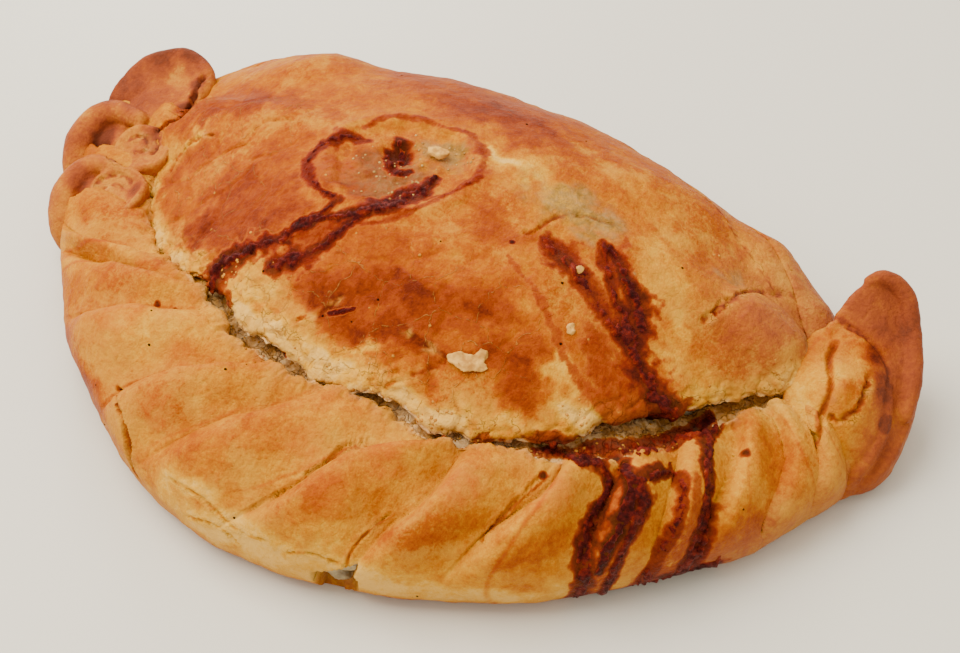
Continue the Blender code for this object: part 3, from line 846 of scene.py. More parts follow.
    lip_angles: tuple[float, ...] = (180, 205, 232, 246, 262, 275, 300, 320, 340, 360)
    lip_reaches: tuple[float, ...] = (2, 3, 9, 11, 7, 7, 5, 5, 3, 2)
    torn_angles: tuple[float, ...] = (180, 222, 238, 322, 338, 360)
    torn_shares: tuple[float, ...] = (0.1, 0.25, 1, 1, 0.5, 0.2)
    least_flaky: float = 0.2
    fold_span: float = 27.0
    plate_size: float = 11.0
    lip_plate_size: float = 4.2
    hollow_depth: float = 3.2
    plain_bake: dict[Part, float] = field(
        default_factory=lambda: {Part.DOME: 0.49, Part.CRIMP: 0.34, Part.CORNER: 0.48}
    )

    def height(self, points: Points, part: Part) -> Values:
        """How far the crust's fine form stands out of its smooth form, in millimetres.

        Args:
            points: The points.
            part: Which part of the crust they are on.

        Returns:
            The height of each point along its normal.
        """
        grain = self.grain
        wobble = grain.rough(points, 3.2, 3)
        out = 0.6 * grain.soft(points, 19) + 0.3 * grain.soft(points, 8) + 0.16 * grain.rough(points, 3.4, 4)
        if part is Part.CRIMP:
            degrees = self.form.polar(points)[0]
            out += sum(swell.weight(degrees, points[:, 2], 0.0) for swell in self.side_swells)
            out -= self.hollow_depth * self.hollow(points, wobble)
        if part is Part.DOME:
            out += sum(swell.weight(points, 0.0) for swell in self.swells)
            bent = points + 1.4 * grain.bend(points, 5, (3, 61, 113))
            border, tone = grain.cells(bent * (1, 1, 0.6), self.plate_size)
            out += self.flaky(points) * (0.34 * (tone - 0.5) - 0.3 * (1 - smooth(border, 0.05, 0.7)))
            border, tone = grain.cells(bent + 90, self.lip_plate_size)
            out += self.near_lip(points) * (0.5 * (tone - 0.5) - 0.45 * (1 - smooth(border, 0.03, 0.45)))
            out += self.vent_form(points[:, :2], wobble)
        for crack in self.flat_cracks(part):
            inside, rim = crack.weight(self.form, points, wobble * 0.9)
            out += -crack.depth * inside + 0.12 * rim
        for crack in self.cracks_in_space(part):
            inside, rim = crack.weight(self.form, points, wobble * 0.5)
            out += -crack.depth * inside + 0.2 * rim
        return out

    def hollow(self, points: Points, wobble: Values) -> Values:
        """How deep each point is in the hollows inside the left corner's rolls, from 0 to 1."""
        return sum(hollow.weight(points, wobble) for hollow in self.hollows)

    def flat_cracks(self, part: Part) -> tuple[Crack, ...]:
        """The cracks that are placed in plan on a part."""
        own = {Part.DOME: self.cracks, Part.CORNER: self.corner_cracks}
        return (self.flap_gap, *own[part]) if part in own else ()

    def cracks_in_space(self, part: Part) -> tuple[Crack, ...]:
        """The cracks that are placed in space on a part."""
        return () if part is Part.DOME else self.side_cracks

    def vent_form(self, flat: Points, wobble: Values) -> Values:
        """The steam vents' dips, rims and mush, and the pillow of dough by the right corner."""
        first = np.hypot((flat[:, 0] + 12) / 15, (flat[:, 1] - 14) / 12.5) + 0.08 * wobble
        inner = np.hypot((flat[:, 0] + 13) / 5, (flat[:, 1] - 17) / 4) + 0.1 * wobble
        second = np.hypot((flat[:, 0] - 27) / 9, (flat[:, 1] - 11) / 6.5) + 0.08 * wobble
        pillow = np.hypot((flat[:, 0] - 65) / 11, (flat[:, 1] - 17) / 9.5) + 0.04 * wobble
        out = -1.3 * (1 - smooth(first, 0.75, 1.05)) + 0.7 * np.exp(-(((first - 1.05) / 0.14) ** 2))
        out += 0.8 * wobble * (1 - smooth(first, 0.3, 0.95)) - 1.6 * (1 - smooth(inner, 0.4, 1.1))
        out += -0.9 * (1 - smooth(second, 0.55, 1.1)) + 0.25 * wobble * (1 - smooth(second, 0.4, 1.1))
        return out + 2.4 * (1 - smooth(pillow, 0.35, 1.05))

    def flaky(self, points: Points) -> Values:
        """How flaky the baked skin is: most in front of the vents and at the left."""
        x, y = points[:, 0], points[:, 1]
        front = (1 - smooth(y, -10, 6)) * (1 - smooth(x, 22, 36))
        left = (1 - smooth(x, -44, -26)) * (1 - smooth(y, 26, 38))
        return np.maximum(np.maximum(front, left), self.least_flaky)

    def near_lip(self, points: Points) -> Values:
        """How near a point on the dome is to its torn edge, from 0 to 1."""
        degrees, radius = self.form.polar(points)
        gap = self.crevice.dome_edge(degrees) - radius
        reach = np.interp(degrees, self.lip_angles, self.lip_reaches)
        near = 1 - smooth(gap + 1.5 * self.grain.soft(points, 5), 0.25 * reach, reach)
        return near * between(degrees, 190, 204, 350, 360)

    def marks(self, points: Points, part: Part, torn: Values) -> dict[str, Values]:
        """What the finish reads for each point.

        Args:
            points: The points.
            part: Which part of the crust they are on.
            torn: 1 where the dough was torn open, as in the seam.

        Returns:
            The marks by name, each from 0 to 1.
        """
        grain = self.grain
        wobble = grain.rough(points, 6.0, 4)
        fine = grain.rough(points + 20, 2.4, 4)
        degrees, heights = self.form.polar(points)[0], points[:, 2]
        bake = self.plain_bake[part] + 0.05 * wobble
        none = np.zeros(len(points))
        flush_and_crease_shade, flaky, mush, pale = none, none, none, none
        if part is Part.DOME:
            bent = points + 3.2 * grain.bend(points, 7, (5, 53, 97))
            lip = self.near_lip(points)
            flaky = self.flaky(points)
            mush = np.max([spot.weight(bent, 0.8 * fine) for spot in self.mushy], axis=0)
            pale = 0.42 * lip * smooth(fine, -0.1, 0.5)
            bake += 0.1 * (1 - smooth(heights, 8, 22)) - lip * (0.2 + 0.14 * fine)
            bake += sum(spot.weight(bent, 0.6 * fine) for spot in self.patches)
            bake += flaky * 0.12 * (grain.cells(points * (1, 1, 0.6), self.plate_size)[1] - 0.5)
            flaky = flaky - self.least_flaky
        else:
            # Painted shade: points in the hollows inside the left corner's rolls bake darker.
            bake += 0.26 * self.hollow(points, wobble)
        if part is Part.CRIMP:
            frayed = wobble + 0.5 * fine
            bake += sum(patch.weight(degrees, heights, frayed) for patch in self.side_browned)
            bake -= sum(patch.weight(degrees, heights, frayed) for patch in self.side_paler)
            bake += 0.14 * (1 - smooth(heights, 1.5, 5))
            # The folds' own colour, with painted crease shade darkening and reddening their grooves.
            flush_and_crease_shade, browned_and_crease_shade = self.folds_flush_and_crease_shade(points, wobble, fine)
            bake += browned_and_crease_shade
        if part is Part.CORNER:
            bake += sum(blotch.weight(points, wobble + 0.4 * fine) for blotch in self.corner_blotches)
        # Painted shade: each crack bakes darker inside the deeper it is. Its pale rims are lifted flake
        # edges, partly a painted highlight.
        for crack in self.flat_cracks(part):
            inside, rim = crack.weight(self.form, points, fine)
            pale = np.maximum(pale, rim * smooth(fine, -0.2, 0.6) * 0.45 * (crack.width < 0.85))
            bake += (0.2 + 0.25 * min(crack.depth, 2)) * inside
        for crack in self.cracks_in_space(part):
            inside, rim = crack.weight(self.form, points, 0.5 * fine)
            pale = np.maximum(pale, 0.2 * rim)
            bake += (0.2 + 0.2 * crack.depth) * inside
        stain, char = self.gravy(points, part, fine)
        return {
            "bake": np.clip(bake, 0, 1),
            "pale": np.clip(np.maximum(pale, 0.6 * torn), 0, 1),
            "flush_and_crease_shade": np.clip(flush_and_crease_shade, 0, 1),
            "flaky": flaky,
            # Painted sheen: a tint standing in for reflected cool light and for shade low down.
            "painted_sheen": self.painted_sheen(points, part),
            "mush": mush,
            "stain": stain,
            "char": char,
            "torn": torn * np.interp(degrees, self.torn_angles, self.torn_shares),
        }

    def folds_flush_and_crease_shade(self, points: Points, wobble: Values, fine: Values) -> tuple[Values, Values]:
        """How flushed and browned the folds' crests are, with painted crease shade along the grooves."""
        degrees, radius = self.form.polar(points)
        span = np.clip((radius - self.crevice.crimp_edge(degrees)) / self.fold_span, 0, 1)
        share = 2 / np.pi * np.arcsin(np.clip(span ** (self.form.roundness / 2), 0, 1))
        across, groove = self.relief.at(degrees, share)[1:]
        crest = np.exp(-(((across - 0.3) / 0.26) ** 2)) * (1 - smooth(share, 0.5, 0.95))
        blush = np.max([blotch.weight(points, wobble + 0.7 * fine) for blotch in self.blushes], axis=0)
        front = between(degrees, 176, 184, 356, 364)
        # The groove terms are painted crease shade; the crests and the blushes are the folds' own colour.
        flush_and_crease_shade = 0.16 * crest * smooth(wobble, -0.3, 0.5) + 0.8 * groove + blush
        return front * np.clip(flush_and_crease_shade, 0, 1), front * (0.05 * crest + 0.2 * groove)

    def gravy(self, points: Points, part: Part, fine: Values) -> tuple[Values, Values]:
        """How soaked with gravy each point is, and how thickly the gravy lies there."""
        ragged = 0.55 * fine + 0.5 * self.grain.rough(points + 70, 6.0, 3)
        stain, thick = np.zeros(len(points)), np.zeros(len(points))
        for trail in self.runs(part):
            depth = trail.depth(self.form, points, ragged)
            stain = np.maximum(stain, (0.22 + 0.63 * trail.dark) * smooth(depth, -1.1, 0.5))
            thick = np.maximum(thick, trail.dark * smooth(depth, 0.1, 0.85))
        spots = self.soaked if part is Part.DOME else ()
        for spot in spots:
            stain = np.maximum(stain, spot.weight(points, 1.2 * ragged))
        for bead in self.beads:
            stain = np.maximum(stain, bead.weight(points, ragged))
        return stain, thick

    def painted_sheen(self, points: Points, part: Part) -> Values:
        """Painted sheen: a pink-grey tint for reflected cool light on corners, the back and shaded low
        sides.
        """
        x, y, z = points.T
        if part is Part.CORNER:
            return 0.13 * np.maximum(
                1 - smooth(x, -70, 0), np.maximum(smooth(x, 84, 89), smooth(y, 22, 28))
            )
        right = smooth(x, 44, 66)
        behind_or_low = np.maximum(smooth(y, -6, 22), 1 - smooth(z, 6, 16))
        return 0.2 * right * behind_or_low + 0.1 * (1 - smooth(z, 5, 14))

    def runs(self, part: Part) -> tuple[Trail, ...]:
        """The runs of gravy that can lie on a part."""
        return self.drips + (self.trails if part is Part.DOME else self.trails[:1])


# --- the crust's pieces ------------------------------------------------------------------------


@dataclass
class Skin:
    """A grid of points on a finished piece of crust, kept so that gravy can be laid on it."""

    points: Points
    normals: Points
    closed: bool


def grid_faces(rows: int, columns: int, closed: bool, start: int = 0) -> np.ndarray:
    """The four-sided faces of a grid of points numbered row by row.

    Args:
        rows: How many rows of points there are.
        columns: How many points a row has.
        closed: Whether the last column meets the first.
        start: The number of the first point.

    Returns:
        An array with four point numbers for each face, facing outwards.
    """
    wide = columns if closed else columns - 1
    row, column = np.meshgrid(np.arange(rows - 1), np.arange(wide), indexing="ij")
    after = (column + 1) % columns
    upper, lower = row * columns, (row + 1) * columns
    quads = np.stack([lower + column, lower + after, upper + after, upper + column], axis=-1)
    return quads.reshape(-1, 4) + start


@dataclass
class Dome:
    """The filled dome of pastry, from its ridge to its torn edge, and the smooth back and base."""

    form: PastyForm
    crust: Crust
    front_columns: int = 420
    back_every: int = 2
    top_rows: int = 108
    side_rows: int = 30
    lip_thickness: float = 1.6
    lip_rounding: float = 2.2
    base: float = 0.1
    side_share: float = 0.8
    under_lip: tuple[tuple[float, float, float], ...] = (
        (0, 0, 0), (0.2, 0.1, -1.1), (0.45, -2.4, -2.6), (0.7, -7, -9), (0.9, -5, -30), (1, 8, -40),
    )

    def _rows(self, angles: Values) -> list[Points]:
        """The grid's rows of points from below the ridge to the base's edge."""
        form, crevice = self.form, self.crust.crevice
        ridge, split, widest = form.lines(angles)
        degrees = np.degrees(angles) % 360
        degrees = np.where((degrees < 1e-6) & (angles > 3), 360.0, degrees)
        front = (np.sin(angles) <= 1e-9).astype(float)
        weight = form.crimp_weight(split)[:, None]
        cut = np.interp(degrees, form.split_angles, form.split_radii)
        draw = front * (crevice.dome_edge(degrees) - cut) * between(degrees, 182, 196, 346, 358)
        ragged = self.crust.grain.rough(np.column_stack([split, np.zeros(len(split))]), 7, 5)
        tear = front * between(degrees, 184, 200, 344, 356)
        out = np.column_stack([np.cos(angles), np.sin(angles)])
        lip = split + out * (draw + ragged * tear)[:, None]
        rows = []
        for index in range(1, self.top_rows + 1):
            share = 1 - (1 - index / self.top_rows) ** 1.12
            plan = (ridge + (lip - ridge) * share) * weight
            plan = plan + (ridge + (widest - ridge) * share * form.back_share) * (1 - weight)
            height = form.dome_height(plan)
            gap = np.linalg.norm(lip - plan, axis=1)
            edge = np.clip(1 - gap / self.lip_rounding, 0, 1)
            sag = self.lip_thickness * (1 - np.sqrt(np.clip(1 - edge**2, 0, 1)))
            rows.append(np.column_stack([plan, height - 0.6 * sag * tear]))
        torn = (between(degrees, 180, 183.5, 356.5, 360) * front)[:, None]
        shoulder = form.shoulder(split)
        for index in range(1, self.side_rows + 1):
            band = index / self.side_rows
            side = self._side(ridge, split, widest, shoulder, weight, band)
            rows.append(self._under(rows[self.top_rows - 1], out, band) * torn + side * (1 - torn))
        return rows

    def _under(self, lip: Points, out: Points, share: float) -> Points:
        """A row of the torn edge's underside and of the hidden inside below it."""
        way, inwards, down = np.array(self.under_lip).T
        reach = np.interp(share, way, inwards)
        row = lip.copy()
        row[:, :2] += out * reach
        row[:, 2] = np.maximum(row[:, 2] + np.interp(share, way, down), self.base + 0.2)
        return row

    def _side(
        self, ridge: Points, split: Points, widest: Points, shoulder: Values, weight: Values, share: float
    ) -> Points:
        """A row of the smooth back's side, and of the rounded edge of its base."""
        form = self.form
        if share > self.side_share:
            return form.tucked(widest, (share - self.side_share) / (1 - self.side_share), self.base)
        band = share / self.side_share
        reach, lift = form.side_curve(band)
        crimp = split + (widest - split) * reach
        swing = form.back_share + (1 - form.back_share) * np.sin(np.pi / 2 * band)
        back = ridge + (widest - ridge) * swing
        height = form.widest_height + (shoulder - form.widest_height) * lift
        plan = crimp * weight + back * (1 - weight)
        own = weight[:, 0]
        return np.column_stack([plan, height * own + form.side_height(back) * (1 - own)])

    def make(self) -> tuple[Piece, Skin]:
        """Builds the dome with its fine form and its marks."""
        front = np.linspace(np.pi, 2 * np.pi, self.front_columns + 1)
        back = (2 * np.pi - front)[:: self.back_every][1:-1]
        angles = np.concatenate([front, back[::-1]])
        ridge = self.form.lines(angles)[0]
        grid = np.array(self._rows(angles))
        rows, columns = grid.shape[:2]
        normals = grid_normals(grid, True)
        flat = grid.reshape(-1, 3)
        own = np.repeat(np.arange(rows), columns)
        below = smooth(own, self.top_rows + self.side_rows * 0.92, rows - 1)
        moved = self.crust.height(flat, Part.DOME) * (1 - below)
        grid = (flat + normals.reshape(-1, 3) * moved[:, None]).reshape(rows, columns, 3)
        grid[..., 2] = np.maximum(grid[..., 2], self.base)
        top = self.form.on_dome(ridge[: self.front_columns + 1])
        top[:, 2] += self.crust.height(top, Part.DOME)
        bottom = top * (1, 1, 0) + (0, 0, self.base)
        points = np.vstack([top, grid.reshape(-1, 3), bottom])
        first = len(top)
        faces = grid_faces(rows, columns, True, first).tolist()
        faces += self._ends(columns, first, 0, False)
        faces += self._ends(columns, first + (rows - 1) * columns, first + rows * columns, True)
        smooth_form = np.vstack([top, flat, bottom])
        marks = self._marks(smooth_form, rows, columns, first)
        made = new_piece("dome", points, faces, marks)
        return made, Skin(grid, grid_normals(grid, True), True)

    def _ends(self, columns: int, row: int, ridge: int, low: bool) -> list[list[int]]:
        """The faces between a ridge line and the row next to it."""
        faces = []
        for column in range(columns):
            after = (column + 1) % columns
            if column < self.front_columns:
                run = [ridge + column, ridge + column + 1]
            else:
                start = self.front_columns - self.back_every * (column - self.front_columns)
                run = [ridge + start - k for k in range(self.back_every + 1)]
            edge = [row + column, row + after]
            faces.append(run + edge[::-1] if low else edge + run[::-1])
        return faces

    def _marks(self, points: Points, rows: int, columns: int, first: int) -> dict[str, Values]:
        """The dome's marks, with its torn edge's underside raw."""
        torn = np.zeros(len(points))
        row = np.repeat(np.arange(rows), columns)
        degrees = self.form.polar(points[first : first + rows * columns])[0]
        front = between(degrees, 183, 190, 350, 358)
        torn[first : first + rows * columns] = front * smooth(row, self.top_rows - 1, self.top_rows + 3)
        return self.crust.marks(points, Part.DOME, torn)


@dataclass
class Crimp:
    """The rope of folded pastry along the front, from the seam's floor over its folds to the base."""

    form: PastyForm
    crust: Crust
    tear_angle: float = 275.0
    tear: tuple[tuple[float, float], ...] = (
        (-3.6, 8.4), (-0.5, 9.8), (3, 11.6), (5.4, 13), (4.4, 9.6),
        (5.4, 6.8), (3.6, 1.8), (-2.4, 1), (-3, 4.4),
    )
    tear_depth: float = 5.0
    columns: int = 960
    floor_rows: int = 10
    wall_rows: int = 8
    band_rows: int = 66
    tuck_rows: int = 8
    nose: float = 1.7

    def _sections(self, degrees: Values) -> tuple[Points, Values]:
        """The smooth grid of the rope, and each point's way down the side."""
        form, crevice = self.form, self.crust.crevice
        angles = np.radians(degrees)
        split, widest = form.lines(angles)[1:]
        shoulder = form.shoulder(split)
        along = np.column_stack([np.cos(angles), np.sin(angles)])
        cut = np.interp(degrees, form.split_angles, form.split_radii)
        opened = between(degrees, 183, 198, 342, 357)
        inner = split + along * ((crevice.crimp_edge(degrees) - cut) * opened)[:, None]
        under = split + along * ((crevice.dome_edge(degrees) - cut) * opened - 3.5)[:, None]
        depth = crevice.depth(degrees) * opened + 1.0
        rows, ways = [], []
        for index in range(self.floor_rows):
            part = index / self.floor_rows
            plan = under + (inner - 0.4 * along - under) * part
            rows.append(np.column_stack([plan, shoulder - depth * (1 + 0.12 * np.sin(np.pi * part))]))
            ways.append(-1.0)
        for index in range(self.wall_rows):
            turn = np.pi / 2 * index / self.wall_rows
            plan = inner + along * (self.nose * (1 - np.cos(turn)) - 0.4)
            rows.append(np.column_stack([plan, shoulder - depth * (1 - np.sin(turn))]))
            ways.append(-0.14 * (1 - index / self.wall_rows))
        start = inner + along * (self.nose - 0.4)
        for index in range(self.band_rows + 1):
            share = index / self.band_rows
            reach, lift = form.side_curve(share)
            height = form.widest_height + (shoulder - form.widest_height) * lift
            rows.append(np.column_stack([start + (widest - start) * reach, height]))
            ways.append(share)
        for index in range(1, self.tuck_rows + 1):
            share = index / self.tuck_rows
            rows.append(form.tucked(widest, share, 0.0))
            ways.append(1 + 0.5 * share)
        rows.append(np.column_stack([under - 2 * along, np.zeros(len(angles))]))
        rows.append(np.column_stack([under - 2 * along, shoulder * 0.4]))
        ways += [2.0, 2.0]
        return np.array(rows), np.array(ways)

    def _tear_weight(self, points: Points) -> Values:
        """1 well inside the tear's outline and 0 outside it."""
        turned = np.radians(self.tear_angle)
        x, y = (points[:, :2] - self.form.centre).T
        side = -x * np.sin(turned) + y * np.cos(turned)
        place = np.column_stack([side, points[:, 2]])
        place = place + 0.35 * self.crust.grain.rough(points, 2.0, 3)[:, None]
        corners = np.array(self.tear)
        inside = np.zeros(len(points), bool)
        nearest = np.full(len(points), 1e9)
        for start, end in zip(corners, np.roll(corners, -1, axis=0)):
            step = end - start
            part = np.clip(((place - start) @ step) / (step @ step), 0, 1)
            nearest = np.minimum(nearest, np.linalg.norm(place - start - part[:, None] * step, axis=1))
            with np.errstate(divide="ignore", invalid="ignore"):
                cross = start[0] + (place[:, 1] - start[1]) / step[1] * step[0]
            inside ^= ((start[1] > place[:, 1]) != (end[1] > place[:, 1])) & (place[:, 0] < cross)
        gap = np.where(inside, nearest, -nearest)
        ahead = (x * np.cos(turned) + y * np.sin(turned)) > 70
        return smooth(gap, -0.15, 0.45) * ahead

    def make(self) -> tuple[Piece, Skin]:
        """Builds the crimp with its folds, its tear and its marks."""
        degrees = np.linspace(176.5, 363.5, self.columns)
        grid, ways = self._sections(degrees)
        rows, columns = grid.shape[:2]
        share, angle = np.repeat(ways, columns), np.tile(degrees, rows)
        out = self.crust.relief.at(angle, share)[0] * between(angle, 180, 186, 353, 360)
        out = out * ((share > -0.5) & (share < 1.6))
        past = 1 - smooth(angle, 177.5, 180.5) + smooth(angle, 359.5, 362.5)
        flat = grid.reshape(-1, 3)
        moved = flat + grid_normals(grid, False).reshape(-1, 3) * (out - past)[:, None]
        up = grid_normals(moved.reshape(grid.shape), False).reshape(-1, 3)
        rough = self.crust.grain.rough(flat, 2.6, 4) * 0.9 * ((share < 0.02) & (share > -1.5))
        fine = self.crust.height(moved, Part.CRIMP) * (1 - smooth(share, 1.2, 1.45))
        tear = self._tear_weight(moved) * (share > 0)
        moved = moved + up * (fine + rough - self.tear_depth * tear)[:, None]
        moved[:, 2] = np.maximum(moved[:, 2], 0.0)
        raw = (share <= -0.1) | (share > 1.6)
        torn = np.where(raw, 1.0, 0.9 * (1 - smooth(share, -0.13, 0.03))) * (1 - past)
        marks = self.crust.marks(flat, Part.CRIMP, torn)
        marks["mush"] = tear
        faces = grid_faces(rows, columns, False).tolist()
        last = (rows - 1) * columns
        faces += [[j, j + 1, last + j + 1, last + j] for j in range(columns - 1)]
        faces.append([row * columns for row in range(rows)])
        faces.append([row * columns + columns - 1 for row in range(rows)][::-1])
        made = new_piece("crimp", moved, faces, marks)
        fine_grid = moved.reshape(rows, columns, 3)
        return made, Skin(fine_grid, grid_normals(fine_grid, False), False)


# --- the curled corners ------------------------------------------------------------------------


@dataclass(frozen=True)
class Lobe:
    """A closed lump of dough: its rim all the way round, its middle, and its underside's height."""

    rim: tuple[tuple[float, float, float], ...]
    middle: tuple[float, float, float]
    low: float
    rounding: float = 2.6
    swell: float = 1.6
    columns: int = 150
    rings: int = 44

    def shell(self) -> tuple[Points, list[list[int]]]:
        """The lump's points and faces."""
        rim = curve_through((*self.rim, self.rim[0]), self.columns + 1)[:-1]
        middle = np.array(self.middle)
        away = rim[:, :2] - middle[:2]
        away /= np.linalg.norm(away, axis=1, keepdims=True)
        rings = []
        for index in range(1, self.rings + 1):
            share = index / self.rings
            if share <= 0.5:
                way = share / 0.5
                ring = middle + (rim - middle) * way
                ring[:, 2] = middle[2] + (rim[:, 2] - middle[2]) * way**1.6
                bulge = np.sqrt(np.clip(1 - way**2, 0, 1))
                ring[:, 2] += self.swell * bulge
            elif share <= 0.75:
                turn = (share - 0.5) / 0.25 * np.pi / 2
                ring = rim.copy()
                ring[:, :2] += away * self.rounding * np.sin(turn)
                ring[:, 2] -= self.rounding * (1 - np.cos(turn))
            else:
                way = (share - 0.75) / 0.25
                ring = rim.copy()
                drawn = self.rounding * (1 - 1.8 * way**3)
                ring[:, :2] += away * drawn
                start = rim[:, 2] - self.rounding
                ring[:, 2] = start + (self.low - start) * np.sin(way * np.pi / 2)
            rings.append(ring)
        points = np.vstack([middle + (0, 0, self.swell), *rings, (*middle[:2], self.low)])
        count = self.columns
        faces = [[1 + j, 1 + (j + 1) % count, 0] for j in range(count)]
        faces += grid_faces(self.rings, count, True, 1).tolist()
        last = 1 + (self.rings - 1) * count
        end = len(points) - 1
        faces += [[last + (j + 1) % count, last + j, end] for j in range(count)]
        return points, faces


@dataclass(frozen=True)
class Limb:
    """A rolled strip of dough: its path and its half thickness along it."""

    path: tuple[tuple[float, float, float], ...]
    radii: tuple[float, ...]
    flatness: float = 1.0
    sides: int = 28

    def shell(self) -> tuple[Points, list[list[int]]]:
        """The strip's points and faces."""
        rings = 16 * len(self.path)
        way = 0.5 - 0.5 * np.cos(np.linspace(0, np.pi, rings))
        path = curve_through(self.path, 400)
        centre = np.array([np.interp(way, np.linspace(0, 1, 400), path[:, k]) for k in range(3)]).T
        along = np.gradient(centre, axis=0)
        along /= np.linalg.norm(along, axis=1, keepdims=True)
        aside = np.cross(along, (0.0, 0.0, 1.0))
        aside /= np.maximum(np.linalg.norm(aside, axis=1, keepdims=True), 1e-6)
        over = np.cross(aside, along)
        radius = np.interp(way, np.linspace(0, 1, len(self.radii)), self.radii)
        length = np.linalg.norm(np.diff(path, axis=0), axis=1).sum()
        from_end = np.minimum(way, 1 - way) * length / np.maximum(radius, 0.1)
        radius = radius * np.sqrt(np.clip(1 - (1 - np.clip(from_end, 0, 1)) ** 2, 0.0004, 1))
        around = np.linspace(0, 2 * np.pi, self.sides, endpoint=False)
        across = np.cos(around)[None, :, None] * aside[:, None] * self.flatness
        upward = np.sin(around)[None, :, None] * over[:, None]
        ring = centre[:, None] + radius[:, None, None] * (across + upward)
        points = ring.reshape(-1, 3)
        faces = [face[::-1] for face in grid_faces(rings, self.sides, True).tolist()]
        faces.append(list(range(self.sides)))
        faces.append(list(range((rings - 1) * self.sides, rings * self.sides))[::-1])
        return points, faces


def melted(
    name: str, shells: Iterable[Lobe | Limb], voxel: float, passes: int
) -> tuple[Points, list[list[int]]]:
    """Several closed lumps joined into one skin, with soft joins.

    Args:
        name: A name for the working object.
        shells: The lumps.
        voxel: The new skin's face size in millimetres.
        passes: How often the skin is smoothed.

    Returns:
        The skin's points in millimetres and its faces.
    """
    points, faces, start = [], [], 0
    for shell in shells:
        own, rows = shell.shell()
        points.append(own)
        faces += [[start + k for k in face] for face in rows]
        start += len(own)
    rough = new_piece(name, np.vstack(points), faces)
    joined = rough.modifiers.new("join", "REMESH")
    joined.mode = "VOXEL"
    joined.voxel_size = voxel * MM
    soft = rough.modifiers.new("soften", "SMOOTH")
    soft.factor = 0.5
    soft.iterations = passes
    made = bpy.data.meshes.new_from_object(rough.evaluated_get(bpy.context.evaluated_depsgraph_get()))
    skin = points_of(made)[0]
    rows = [list(face.vertices) for face in made.polygons]
    bpy.data.objects.remove(rough)
    bpy.data.meshes.remove(made)
    return skin, rows


